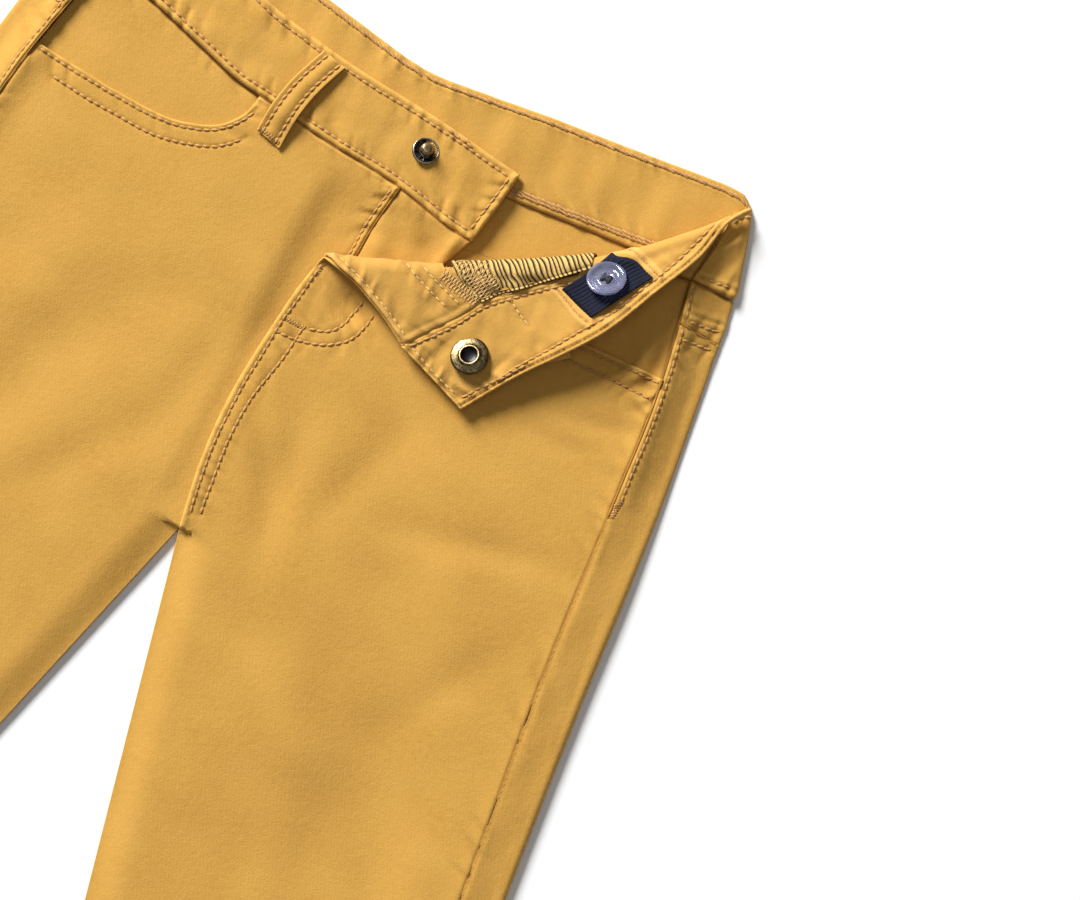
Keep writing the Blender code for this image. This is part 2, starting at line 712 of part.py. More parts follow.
def make_snap_socket():
    here, up = seat_on(*SOCKET_AT, BAND_IN)
    r = SNAP / 2
    bore = SOCKET_BORE / 2
    profile = (
        (bore, 0.6), (r, 0.6), (r, 1.4), (r - 0.8, 2.2), (bore + 1.2, 2.2), (bore, 1.5),
    )
    turned_solid("snap_socket", profile, here, up, BRASS, 0.35, 1.0)


def make_snap_stud():
    x, v = STUD_AT
    here = Vector((x, v, float(right_top(x, v)) + BAND_OUT))
    profile = (  # its base, then the post and the ball on it
        (0, 0.35), (5.3, 0.35), (5.3, 0.9), (4.7, 1.3), (4.3, 0.9), (2.2, 0.9),
        (1.8, 1.6), (1.9, 2.9), (2.6, 3.5), (2.6, 4.2), (1.8, 4.9), (0, 5.1),
    )
    turned_solid("snap_stud", profile, here, Vector((0, 0, 1)), BRASS, 0.4, 1.0)


ELASTIC = ((94.4, 66.3), (106.9, 42.1))  # the middle of its near and far ends, seen from above


def make_elastic():
    """The ribbed tape that comes out of one slot of the waistband and goes into the other."""
    n = BAND_IN - LAYER
    outline = [turned(*p) for p in strip(*ELASTIC, TAPE_WIDTH)]
    cloth("waist_elastic", outline, TURN_COLUMNS, TURN_ROWS, lie_left, n, n - TAPE, NAVY)


def make_button():
    here, up = seat_on(*BUTTON_AT, BAND_IN - LAYER - TAPE)
    r = BUTTON / 2
    profile = (
        (0, 1.0), (r - 1.2, 1.0), (r, 1.9), (r - 0.3, 2.7), (r - 1.6, 2.7), (r - 2.6, 2.2), (0, 2.1),
    )
    button = turned_solid("waist_button", profile, here, up, CLEAR_BLUE, 0.15, 0.0)
    bm = bmesh.new()
    tilt = Vector((0, 0, 1)).rotation_difference(up).to_matrix().to_4x4()
    for dx, dy in ((1, 1), (1, -1), (-1, 1), (-1, -1)):
        hole = Matrix.Translation((HOLE_APART / 2 * dx, HOLE_APART / 2 * dy, 1.2))
        bmesh.ops.create_cone(
            bm, cap_ends=True, segments=10, radius1=HOLE / 2, radius2=HOLE / 2, depth=4,
            matrix=Matrix.Translation(here) @ tilt @ hole,
        )
    cutter = add("waist_button_holes", bm, (0, 0, 0))
    cutter.hide_render = True
    cutter.display_type = "WIRE"
    cut = button.modifiers.new("holes", "BOOLEAN")
    cut.operation = "DIFFERENCE"
    cut.object = cutter


def main():
    for old in list(bpy.data.objects):
        bpy.data.objects.remove(old)
    for side, name in ((1, "left"), (-1, "right")):
        make_back_panel("back_" + name, side)
        make_yoke("yoke_" + name, side)
    make_back_waistband()
    make_front_right()
    make_pocket_facing_right()
    make_waistband_right()
    make_fly_shield()
    make_front_left()
    make_waistband_left()
    make_fly_facing()
    make_pocket_facing_left()
    make_pocket_bag_left()
    make_belt_loop_right()
    make_belt_loop_left()
    make_snap_socket()
    make_snap_stud()
    make_elastic()
    make_button()


main()
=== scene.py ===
"""The looks of a small child's twill trousers, lying flat on their back with the fly open.

Lengths are in millimetres until a mesh is made, in the same frame as the solids. A place on the
trousers is (x, v): x runs to the wearer's left from the centre line, and v runs down the legs.
"""

from math import pi

import bpy
import numpy as np
from mathutils import Matrix, Vector
from mathutils.geometry import delaunay_2d_cdt
from mathutils.kdtree import KDTree


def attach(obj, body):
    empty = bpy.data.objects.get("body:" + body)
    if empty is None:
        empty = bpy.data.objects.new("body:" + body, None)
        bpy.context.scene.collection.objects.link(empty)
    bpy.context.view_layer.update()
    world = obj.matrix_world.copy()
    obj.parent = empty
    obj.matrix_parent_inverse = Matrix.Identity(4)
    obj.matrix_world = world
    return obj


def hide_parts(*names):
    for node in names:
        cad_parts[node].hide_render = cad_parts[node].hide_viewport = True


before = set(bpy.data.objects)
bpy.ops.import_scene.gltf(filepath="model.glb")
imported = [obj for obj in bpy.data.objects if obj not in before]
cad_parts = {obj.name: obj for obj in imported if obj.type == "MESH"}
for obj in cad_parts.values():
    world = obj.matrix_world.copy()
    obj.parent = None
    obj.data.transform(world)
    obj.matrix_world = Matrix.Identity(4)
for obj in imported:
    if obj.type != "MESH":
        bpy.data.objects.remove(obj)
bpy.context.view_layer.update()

MM = 0.001

# The sizes of the trousers, as their solids have them.
CLOTH = 1  # the room that a single piece takes
BAND = 2.4  # the thickness of a waistband
LAYER = 0.45  # between pieces that lie on each other
SHELL_GAP = 0.15
SHELL = CLOTH - SHELL_GAP  # the thickness of the cloth itself
SHUT_GAP = 0.3  # between the back and the front where they are pressed together
LEVEL = 4.2  # the height of the front's inside face
TOP = LEVEL + CLOTH
CROTCH_V = 214
HEM_INNER = (86.5, 558)
HEM_OUTER = (214, 533)
WAIST_V = -2.2
SEAM_END_V = 536.4  # where the side seams meet the hems
MIDDLE_V = (WAIST_V + HEM_INNER[1]) / 2
UNROLLED_FOLD = 130
BAND_BEND = 0.5  # the inside radius of the waistband's side fold
SIDE = (  # v, fold, seam
    (-3, 134.4, 131.5),
    (10, 139.9, 130.2),
    (25, 144.8, 128.8),
    (37, 147, 128.3),
    (56, 150.2, 132.5),
    (84, 154.6, 138),
    (119, 159.9, 142),
    (150, 163.7, 145.2),
    (200, 168.9, 150.6),
    (257, 175.8, 158.7),
    (400, 196, 178.4),
    (HEM_OUTER[1], HEM_OUTER[0], 196.5),
    (580, 220.2, 202.8),
)
BACK_WAIST = (  # x, top edge of the back waistband, its lower seam
    (0, 13.9, 47.8),
    (9, 13.3, 47.4),
    (18, 12, 46.4),
    (32, 9.9, 45),
    (51.6, 6.9, 42.5),
    (76.6, 3.8, 39.6),
    (100, 0.7, 37.2),
    (115.7, -1.4, 36.2),
    (126, -2.4, 35.8),
    (132, -1.9, 35.8),
    (137, 0.6, 35.9),
    (147, 3, 36),
)
RIGHT_WAIST = (  # x, top edge of the slumped right front waistband, its lower seam
    (-130.5, -1, 37),
    (-105, 6.5, 41),
    (-80, 15, 47.5),
    (-60, 21, 52.5),
    (-44, 23.6, 53.8),
    (-25.6, 25.8, 56.1),
    (13.9, 28.5, 58.9),
    (36.8, 31, 63),
    (51, 32.6, 64),
)
POCKET = (  # x, v along the edge of the right pocket's scoop, from the waistband to the side seam
    (-51.5, 53.9),
    (-53, 61),
    (-59, 69.5),
    (-72, 75.8),
    (-100, 77.8),
    (-120, 76.8),
    (-136.6, 75.6),
)
TURN = (  # along, sag, radius
    (-190, -1.6, 2),
    (-166, -0.4, 2.5),
    (-145, 4.2, 2.7),
    (-122, 8.6, 2.6),
    (-100, 11, 2.8),
    (-80, 12.3, 2.8),
    (-62, 12.4, 2.6),
    (-45, 10.6, 2.4),
    (-30, 7.8, 2.2),
    (-15, 4.4, 2),
    (0, 0, 1.9),
)
TURN_BACK = 2  # how much further than its radius the corner's bend reaches
CORNER = np.array((135.4, 0))  # where the turned-over line starts
ALONG = np.array((0.8177, -0.5757))
ACROSS = np.array((-0.5757, -0.8177))
HELD = (  # along, height at its free edge
    (-170, 4),
    (-141, 5),
    (-121, 3.8),
    (-97, 7.6),
    (-63, 12),
    (-41, 10.5),
    (-20, 6),
    (0, 2.6),
)
EDGE_SLOPE = 0.46  # how far across its free edge lies, by the distance along
FOLDS = (  # x, v, heading in degrees, half length, half width, height
    (60, 150, 62, 70, 16, -1),
    (98, 172, 66, 80, 17, 0.9),
    (40, 205, 40, 46, 12, 0.8),
    (112, 262, 72, 90, 18, -1.2),
    (70, 250, 75, 60, 12, 0.5),
    (104, 292, 115, 60, 27, -2.2),
    (150, 380, 80, 80, 16, -0.9),
    (-60, 150, 118, 70, 16, -1),
    (-98, 172, 114, 80, 17, 0.9),
    (-40, 205, 140, 46, 12, 0.8),
    (-112, 262, 108, 90, 18, -1.2),
    (-70, 250, 105, 60, 12, 0.7),
    (-150, 380, 100, 80, 16, -0.9),
)
CREASES = (  # x, v, heading in degrees, half length, half width, height
    (27, 184, 78, 30, 8, -1.3),
    (16, 176, 60, 18, 4, -0.6),
    (20, 168, 40, 20, 4, 0.5),
    (51, 166, 106, 24, 7, -0.6),
    (104, 167, -14, 36, 6.5, -0.7),
    (120, 116, -4, 20, 5.5, -0.6),
    (78, 240, 45, 34, 11, -1),
    (122, 218, -63, 26, 8, -0.6),
    (84, 132, 20, 26, 9, -0.4),
    (38, 236, 30, 26, 8, -0.7),
    (132, 300, 65, 34, 9, -0.5),
    (96, 330, 82, 44, 10, 0.6),
    (172, 440, 70, 40, 10, -0.6),
    (120, 470, 86, 46, 12, 0.6),
    (-28, 116, 64, 34, 9, -0.2),
    (-24, 160, 100, 30, 8, -0.5),
    (-70, 122, 20, 34, 9, -0.3),
    (-104, 150, 12, 34, 8, -0.4),
    (-52, 214, 130, 36, 10, -0.9),
    (-122, 224, 64, 30, 8, -0.6),
    (-132, 306, 112, 38, 9, -0.6),
    (-96, 344, 96, 44, 10, 0.6),
    (-172, 450, 108, 40, 10, -0.6),
    (-122, 480, 92, 46, 12, 0.6),
)


# ---- Curves and heights ----


def through(rows, at, column=1):
    """A smooth curve through one column of a table, level beyond its ends."""
    xs, ys = (np.array([row[k] for row in rows]) for k in (0, column))
    slopes = np.gradient(ys, xs)
    at = np.clip(at, xs[0], xs[-1])
    i = np.clip(np.searchsorted(xs, at) - 1, 0, len(xs) - 2)
    gap = xs[i + 1] - xs[i]
    t = (at - xs[i]) / gap
    start = (1 + 2 * t) * (1 - t) ** 2 * ys[i] + t * (1 - t) ** 2 * gap * slopes[i]
    end = t * t * (3 - 2 * t) * ys[i + 1] - t * t * (1 - t) * gap * slopes[i + 1]
    return start + end


def ramp(at, low, high):
    """From 0 at low to 1 at high, smoothly."""
    t = np.clip((at - low) / (high - low), 0, 1)
    return t * t * (3 - 2 * t)


def fold_line(v):
    return through(SIDE, v, 1)


def side_seam(v):
    return through(SIDE, v, 2)


def centre_line(v):
    return 0 * v


def back_waist(x):
    return through(BACK_WAIST, np.abs(x), 1)


def back_waist_seam(x):
    return through(BACK_WAIST, np.abs(x), 2)


def right_waist(x):
    return through(RIGHT_WAIST, x, 1)


def right_waist_seam(x):
    return through(RIGHT_WAIST, x, 2)


def inseam(v):
    """How far the inner edge of a leg is from the centre line."""
    return (v - CROTCH_V) * HEM_INNER[0] / (HEM_INNER[1] - CROTCH_V)


def hem(x):
    """The height of the hem at a distance from the centre line."""
    slope = (HEM_OUTER[1] - HEM_INNER[1]) / (HEM_OUTER[0] - HEM_INNER[0])
    return HEM_INNER[1] + (x - HEM_INNER[0]) * slope


def yoke_seam(x):
    """The height of the yoke's lower seam at a distance from the centre line."""
    return 75 - 0.163 * np.abs(x)


def ridges(rows, x, v):
    """The height of soft ridges and troughs."""
    total = 0
    for at_x, at_v, heading, long, wide, height in rows:
        c = np.cos(np.radians(heading))
        s = np.sin(np.radians(heading))
        run = ((x - at_x) * c + (v - at_v) * s) / long
        off = (-(x - at_x) * s + (v - at_v) * c) / wide
        total = total + height * np.exp(-run * run - off * off)
    return total


def uneven(x, v, size=1):
    """Slow unevenness of laid cloth, from -1 to 1."""
    x, v = x / size, v / size
    total = np.sin(0.11 * x + 0.07 * v + 1.3) + np.sin(0.06 * x - 0.13 * v + 0.4)
    total = total + np.sin(0.19 * x + 0.03 * v + 2.1) + np.sin(0.05 * x + 0.21 * v + 4)
    return total / 4


def front_top(x, v):
    """The height of the outside face of a front, before anything presses it down."""
    to_fold = fold_line(v) - np.abs(x)
    free = ramp(to_fold, 18, 45) * ramp(v, 118, 145)
    to_inseam = np.where(v > CROTCH_V, np.abs(x) - inseam(v), 99)
    flat = CLOTH + SHUT_GAP + CLOTH
    small = 1.5 * ridges(CREASES, x, v) * ramp(to_fold, 10, 30) + 0.25 * uneven(x, v)
    tall = TOP + ridges(FOLDS, x, v) * free + small - flat
    return flat + tall * ramp(to_inseam, -1, 14)


def right_top(x, v):
    """The right front sinks beside the fly, where the left front lies over it."""
    sunk = ramp(x, -18, -6) * ramp(v, 60, 79) * (1 - ramp(v, 126, 152))
    lapped = 0.9 * ramp(x, -14, -8) * ramp(v, 120, 140) * (1 - ramp(v, 200, 214))
    hollow = ridges(((17.5, 105.5, 114, 12, 12, -1.3),), x, v)
    return front_top(x, v) - (LEVEL - CLOTH - SHUT_GAP) * sunk - lapped + hollow


# ---- How each part of the trousers lies ----
# A piece is cut flat, and n is the distance outwards from a layer's reference face.


def bend_of(thick):
    """The inside radius of the side fold of a back piece, and the length of its bend."""
    inside = (LEVEL - CLOTH) / 2 if thick == CLOTH else BAND_BEND
    return inside, pi * (inside + thick / 2)


def under(x, v, thick=CLOTH):
    """The pattern point of a place on the back's lower layer."""
    inside, _ = bend_of(thick)
    return (x * UNROLLED_FOLD / (fold_line(v) - inside - thick), v)


def over(x, v, thick=CLOTH):
    """The pattern point of a place on the strip that the back turns over to the front."""
    inside, bend = bend_of(thick)
    return (UNROLLED_FOLD + bend + fold_line(v) - inside - thick - x, v)


def fall(v, past, thick):
    """How far the side fold lies below the front, and how that fades out towards the side seam."""
    full = 1.5 if thick == BAND else 3.1 - 2.3 * ramp(v, 90, 170)
    return full * (1 - ramp(past, -1, 13))


def lie_back(p, v, n, thick=CLOTH):
    """Places a back piece: flat, then round the side fold. n runs from 0, its inside, to thick."""
    inside, bend = bend_of(thick)
    start = fold_line(v) - inside - thick
    past = np.abs(p) - UNROLLED_FOLD
    turn = np.clip(past / bend, 0, 1) * pi
    flat_x = np.where(past < 0, start * np.abs(p) / UNROLLED_FOLD, start)
    x = flat_x + (inside + n) * np.sin(turn) - np.maximum(past - bend, 0)
    z = thick + inside - (inside + n) * np.cos(turn)
    return np.sign(p) * x, v, z - fall(v, past - bend, thick) * (1 - np.cos(turn)) / 2


def lie_back_band(p, v, n):
    return lie_back(p, v, n, BAND)


def back_bend(side, low, high, thick=CLOTH, shares=(0, 0.5, 1), step=1):
    """Lines along a back piece's bend, where its mesh is fine."""
    _, bend = bend_of(thick)
    v = np.arange(low, high, step)
    return [np.column_stack([0 * v + side * (UNROLLED_FOLD + k * bend), v]) for k in shares]


def lie_right(x, v, n):
    return x, v, right_top(x, v) + n


def along_turn(x, v):
    """The distance along the turned-over line, and the distance across it."""
    x, v = x - CORNER[0], v - CORNER[1]
    return x * ALONG[0] + v * ALONG[1], x * ACROSS[0] + v * ACROSS[1]


def lay(x, v):
    """The pattern point of a place on the left front's lower part."""
    a, across = along_turn(x, v)
    return (a, across + through(TURN, a, 1))


def turned(x, v):
    """The pattern point of a place on the left front's turned-out corner."""
    a, across = along_turn(x, v)
    return (a, -across - through(TURN, a, 1))


def opened(a, s):
    """The place that a pattern point of the left front has when the corner isn't turned over."""
    x = CORNER[0] + a * ALONG[0] + s * ACROSS[0]
    v = CORNER[1] + a * ALONG[1] + s * ACROSS[1]
    return x, v


def held(a, s):
    """The height of the corner's outside face above the front that it lies on."""
    bend = 2 * through(TURN, a, 2)
    share = ramp(s / np.maximum(EDGE_SLOPE * np.abs(a), 6), 0.05, 1)
    return bend + (through(HELD, a) - bend) * share


def lie_left(a, s, n):
    """Places a piece of the left front: flat, round the bend, then lying inside up."""
    radius = through(TURN, a, 2)
    reach = radius + TURN_BACK
    sag = through(TURN, a, 1)
    turn = np.clip((s + reach) / (2 * reach), 0, 1) * pi
    past = np.maximum(np.abs(s) - reach, 0)
    across = -sag - reach - past + (radius - n) * np.sin(turn)
    x, v = opened(a, across)
    base_x, base_v = opened(a, -sag - reach)
    flat = front_top(np.where(s < -reach, x, base_x), np.where(s < -reach, v, base_v))
    rise = radius - (radius - n) * np.cos(turn)
    lifted = (held(a, np.maximum(s - reach, 0)) - 2 * radius) * (s > reach)
    return x, v, flat + rise + lifted


TURN_LINES = [np.column_stack([np.arange(-172, 1), np.full(173, s)]) for s in (-4, 0, 4)]


# ---- Lines on the cloth ----

LINE_STEP = 1.2  # between the points of a line down or across the trousers
NEXT_RUN = 37  # the count of lengths goes on from line to line with this much between them


def run_of(line):
    """How far along a line each of its points is."""
    return np.concatenate([[0], np.cumsum(np.hypot(*(line[1:] - line[:-1]).T))])


def unit(vectors):
    """The vectors, each with a length of 1."""
    return vectors / np.maximum(np.linalg.norm(vectors, axis=-1), 1e-12)[..., None]


def smooth(points, step=1):
    """Evenly spaced points along a smooth curve through a few."""
    points = np.array(points, float)
    run = run_of(points)
    at = np.linspace(0, run[-1], max(2, int(round(run[-1] / step)) + 1))
    if len(points) == 2:
        share = (at / run[-1])[:, None]
        return points[0] * (1 - share) + points[1] * share
    rows = np.column_stack([run, points])
    return np.column_stack([through(rows, at, 1), through(rows, at, 2)])


def spaced(low, high):
    return np.linspace(low, high, int(abs(high - low) / LINE_STEP) + 2)


def down(low, high, across, off=0):
    """Places along a line whose distance from the centre is a function of its height."""
    v = spaced(low, high)
    return np.column_stack([across(v) + off, v])


def level(low, high, height, off=0):
    """Places along a line whose height is a function of the distance from the centre."""
    x = spaced(low, high)
    return np.column_stack([x, height(x) + off])


def beside(points, offset):
    """The points of a line moved to its left, seen from above with v down, or to its right."""
    points = np.array(points, float)
    ahead = unit(np.gradient(points, axis=0))
    return points + offset * np.column_stack([ahead[:, 1], -ahead[:, 0]])


def on(place, points):
    """Points in a piece's pattern, from places seen from above."""
    points = np.array(points, float)
    return np.column_stack(place(points[:, 0], points[:, 1]))


def closed(outline):
    """The outline with its first point again at its end."""
    return np.vstack([outline, outline[:1]])


def joined(*runs):
    """One outline of several runs, without points that lie on each other."""
    points = np.vstack([np.array(run, float) for run in runs])
    gap = np.hypot(*(points - np.roll(points, 1, axis=0)).T)
    return points[gap > 0.2]


class Lines:
    """Lines on a flat piece, and how near each point is to them."""

    def __init__(self, lines, spacing=0.4):
        self.samples, self.runs, self.ahead = [], [], []
        start = 0
        for line in lines:
            line = np.array(line, float)
            run = run_of(line)
            at = np.arange(0, run[-1] + 1e-6, spacing)
            points = np.column_stack([np.interp(at, run, line[:, k]) for k in (0, 1)])
            ahead = np.gradient(points, axis=0) if len(points) > 1 else np.array([[1, 0]])
            self.samples.append(points)
            self.runs.append(at + start)
            self.ahead.append(unit(ahead))
            start += run[-1] + NEXT_RUN
        self.empty = not self.samples
        if self.empty:
            return
        self.samples = np.vstack(self.samples)
        self.runs = np.concatenate(self.runs)
        self.ahead = np.vstack(self.ahead)
        self.tree = KDTree(len(self.samples))
        for i, (p, q) in enumerate(self.samples):
            self.tree.insert((p, q, 0), i)
        self.tree.balance()

    def near(self, points):
        """The distance, the run along the line, and the signed distance to its side."""
        if self.empty:
            far = np.full(len(points), 1e3)
            return far, far, far
        found = np.array([self.tree.find((p, q, 0))[1] for p, q in points])
        away = points - self.samples[found]
        ahead = self.ahead[found]
        side = away[:, 0] * ahead[:, 1] - away[:, 1] * ahead[:, 0]
        run = self.runs[found] + (away * ahead).sum(1)
        return np.hypot(*away.T), run, side


# ---- Cloth ----

FINE = 0.75  # spacing of a piece's points near its sewing and its edges
SEAM_DEPTH, SEAM_WIDTH = 0.95, 0.75
ROW_DEPTH, ROW_WIDTH, ROW_PITCH = 0.42, 0.8, 3
FINE_REACH = 3.2  # how far from them that spacing reaches
RIM_DEPTHS = (0.3, 0.75, 1.3)  # lines of points just inside a piece's edge
RIM_CLEAR = 1.7  # no other points are nearer to the edge
SHOWN_V = 352  # below this the legs are coarser


def inside(points, outline):
    """Whether each point is inside an outline."""
    result = np.zeros(len(points), bool)
    for a, b in zip(outline, np.roll(outline, -1, axis=0)):
        if a[1] == b[1]:
            continue
        crosses = (a[1] > points[:, 1]) != (b[1] > points[:, 1])
        result ^= crosses & (points[:, 0] < a[0] + (points[:, 1] - a[1]) * (b[0] - a[0]) / (b[1] - a[1]))
    return result


def spread(outline, lines, lie, fine, coarse):
    """Points over a flat piece: fine near its edge and its sewing, and coarse elsewhere."""
    low, high = outline.min(0), outline.max(0)
    xs = np.arange(low[0], high[0] + fine, fine)
    ys = np.arange(low[1], high[1] + fine, fine)
    gx, gy = np.meshgrid(xs, ys, indexing="ij")
    near = np.zeros(gx.shape, bool)
    disc = int(np.ceil(FINE_REACH / fine))
    marks = outline if lines.empty else np.vstack([outline, lines.samples[::2]])
    for i, j in np.unique(np.round((marks - low) / fine).astype(int), axis=0):
        near[max(i - disc, 0) : i + disc + 1, max(j - disc, 0) : j + disc + 1] = True

    def one_in(step):
        picked = np.zeros(gx.shape, bool)
        picked[::step, ::step] = True
        return picked

    every = max(1, int(round(coarse / fine)))
    points = np.column_stack([gx.ravel(), gy.ravel()])
    _, seen_v, _ = lie(points[:, 0], points[:, 1], 0)
    legs = np.broadcast_to(seen_v, len(points)) > SHOWN_V
    on_legs = one_in(2 * every) | (near & one_in(3))
    pick = np.where(legs, on_legs.ravel(), (near | one_in(every)).ravel())
    points = points[pick]
    return points[inside(points, outline)]


def rings(outline, depths):
    """Points just inside an outline, at a few depths."""
    ahead = unit(np.roll(outline, -1, axis=0) - np.roll(outline, 1, axis=0))
    inward = np.column_stack([-ahead[:, 1], ahead[:, 0]])
    area = (outline[:, 0] * np.roll(outline[:, 1], -1) - np.roll(outline[:, 0], -1) * outline[:, 1]).sum()
    return [outline + np.sign(area) * depth * inward for depth in depths]


def filled(outline, longest=1.2):
    """The outline with more points, so that no two neighbours are far apart."""
    points = []
    for start, end in zip(outline, np.roll(outline, -1, axis=0)):
        count = max(1, int(np.ceil(np.hypot(*(end - start)) / longest)))
        points += [start + (end - start) * k / count for k in range(count)]
    return np.array(points)


def thinned(outline, lie):
    """The outline with fewer points down the long edges of the legs."""
    _, seen_v, _ = lie(outline[:, 0], outline[:, 1], 0)
    legs = np.broadcast_to(seen_v, len(outline)) > SHOWN_V + 6
    ahead = np.abs(np.roll(outline, -1, axis=0) - np.roll(outline, 1, axis=0))
    legs &= ahead[:, 1] > ahead[:, 0]
    return outline[~legs | (np.arange(len(outline)) % 3 == 0)]


def triangulated(outline, others):
    """Triangles over an outline and the points inside it."""
    points = np.vstack([outline, others])
    found = delaunay_2d_cdt([Vector(p) for p in points], [], [list(range(len(outline)))], 1, 1e-5)
    flat = np.array([tuple(p) for p in found[0]])
    faces = np.array([tuple(face) for face in found[2]])
    return flat, faces


def in_metres(x, v, z):
    x, v, z = np.broadcast_arrays(x, v, z)
    return np.stack([x, MIDDLE_V - v, z], axis=-1) * MM


def new_mesh(name, points, faces, made_of, flat=None, painted_shading=None):
    """A smooth mesh. flat is each point's place on the uncut cloth, in millimetres."""
    mesh = bpy.data.meshes.new(name)
    mesh.from_pydata([tuple(p) for p in points], [], [tuple(int(i) for i in f) for f in faces])
    mesh.validate()
    mesh.shade_smooth()
    mesh.materials.append(made_of)
    if flat is not None:
        places = mesh.attributes.new("cloth_place", "FLOAT_VECTOR", "POINT")
        places.data.foreach_set("vector", np.column_stack([flat, np.zeros(len(flat))]).ravel())
        # How far each point stands out, which the twill turns into painted shade in recesses and painted
        # highlight on ridges.
        mesh.attributes.new("painted_shading", "FLOAT", "POINT").data.foreach_set("value", painted_shading)
    piece = bpy.data.objects.new(name, mesh)
    bpy.context.scene.collection.objects.link(piece)
    return piece


def tube_faces(rings, sides, first=0, wrapped=False):
    """Faces between rings of points, with a flat face at each end unless the rings close."""
    faces = []
    for j in range(rings - 1 + wrapped):
        low, high = first + j * sides, first + (j + 1) % rings * sides
        for k in range(sides):
            n = (k + 1) % sides
            faces.append((low + k, low + n, high + n, high + k))
    if not wrapped:
        last = first + (rings - 1) * sides
        faces.append(tuple(first + k for k in range(sides))[::-1])
        faces.append(tuple(last + k for k in range(sides)))
    return faces


def facing_out(points, faces):
    """The faces turned so that a closed mesh's volume is positive."""
    a, b, c = (points[faces[:, k]] for k in range(3))
    return faces if (a * np.cross(b, c)).sum() > 0 else faces[:, ::-1]


class Piece:
    """A flat piece's shape: its faces' heights, with what its sewing and edges do to them."""

    def __init__(self, lie, outer, inner, relief, free, seams, rows, puckers, grooves, lips, detail):
        self.lie, self.outer, self.inner = lie, outer, inner
        self.relief = relief or (lambda p, q: 0 * p)
        self.free, self.seams = Lines(free), Lines(seams)
        self.rows = {face: Lines([r[0] for r in rows if r[2] == face]) for face in (1, -1)}
        marked = [r[0] for r in rows] + [g[0] for g in grooves] + [k[0] for k in lips]
        self.marked = Lines(marked + list(detail))
        self.puckers = [(Lines([line]), wide, long, high) for line, wide, long, high in puckers]
        self.grooves = [(Lines([line]), face, wide, deep) for line, face, wide, deep in grooves]
        self.lips = [(Lines([line]), face, reach, high) for line, face, reach, high in lips]
        self.half = (outer - inner) / 2

    def ripples(self, points):
        """The small waves that a row of sewing draws into the cloth beside it."""
        total = 0 * points[:, 0]
        for lines, wide, long, high in self.puckers:
            away, run, side = lines.near(points)
            phase = 2 * pi * run / long + 1.7 * np.sin(run * 0.13) + 0.9 * np.sin(run * 0.31 + 2)
            strength = 0.6 + 0.4 * np.sin(run * 0.09 + 1)
            slant = phase + 0.4 * side
            wave = np.sin(slant) + 0.35 * np.cos(2 * slant + 0.6)
            total = total + high * strength * wave * np.exp(-((away / wide) ** 2))
        return total

    def pressed(self, points, face):
        """How far the sewing presses a face in: a stitched lip beside it stands out instead."""
        seam, _, _ = self.seams.near(points)
        dents = SEAM_DEPTH * np.exp(-((seam / SEAM_WIDTH) ** 2))
        row, run, _ = self.rows[face].near(points)
        stitch = 0.8 + 0.2 * np.cos(2 * pi * run / ROW_PITCH)
        dents += ROW_DEPTH * np.exp(-((row / ROW_WIDTH) ** 2)) * stitch
        for lines, on_face, wide, deep in self.grooves:
            if on_face == face:
                dents += deep * np.exp(-((lines.near(points)[0] / wide) ** 2))
        for lines, on_face, reach, high in self.lips:
            if on_face == face:
                share = np.clip(lines.near(points)[0] / reach, 0, 1)
                dents -= high * np.sin(pi * share) ** 0.7
        return dents

    def face(self, points, face):
        """The height n of one of the two faces: 1 is the outside, -1 the inside."""
        base = self.outer if face > 0 else self.inner
        edge, _, _ = self.free.near(points)
        part = np.clip(1 - edge / self.half, 0, 1)
        rounded = self.half * (1 - np.sqrt(1 - part**2))
        common = self.relief(points[:, 0], points[:, 1]) + self.ripples(points)
        return base + common - face * (rounded + self.pressed(points, face))

    def painted_shading(self, points, face):
        """How far a spot stands out of the cloth round it: painted shade where it is sunk, painted highlight
        where it stands out, and lighter along its free edges.
        """
        edge, _, _ = self.free.near(points)
        edge_lighter = 0.25 * np.exp(-((edge / 0.8) ** 2))
        return 0.5 * face * self.ripples(points) - self.pressed(points, face) + edge_lighter


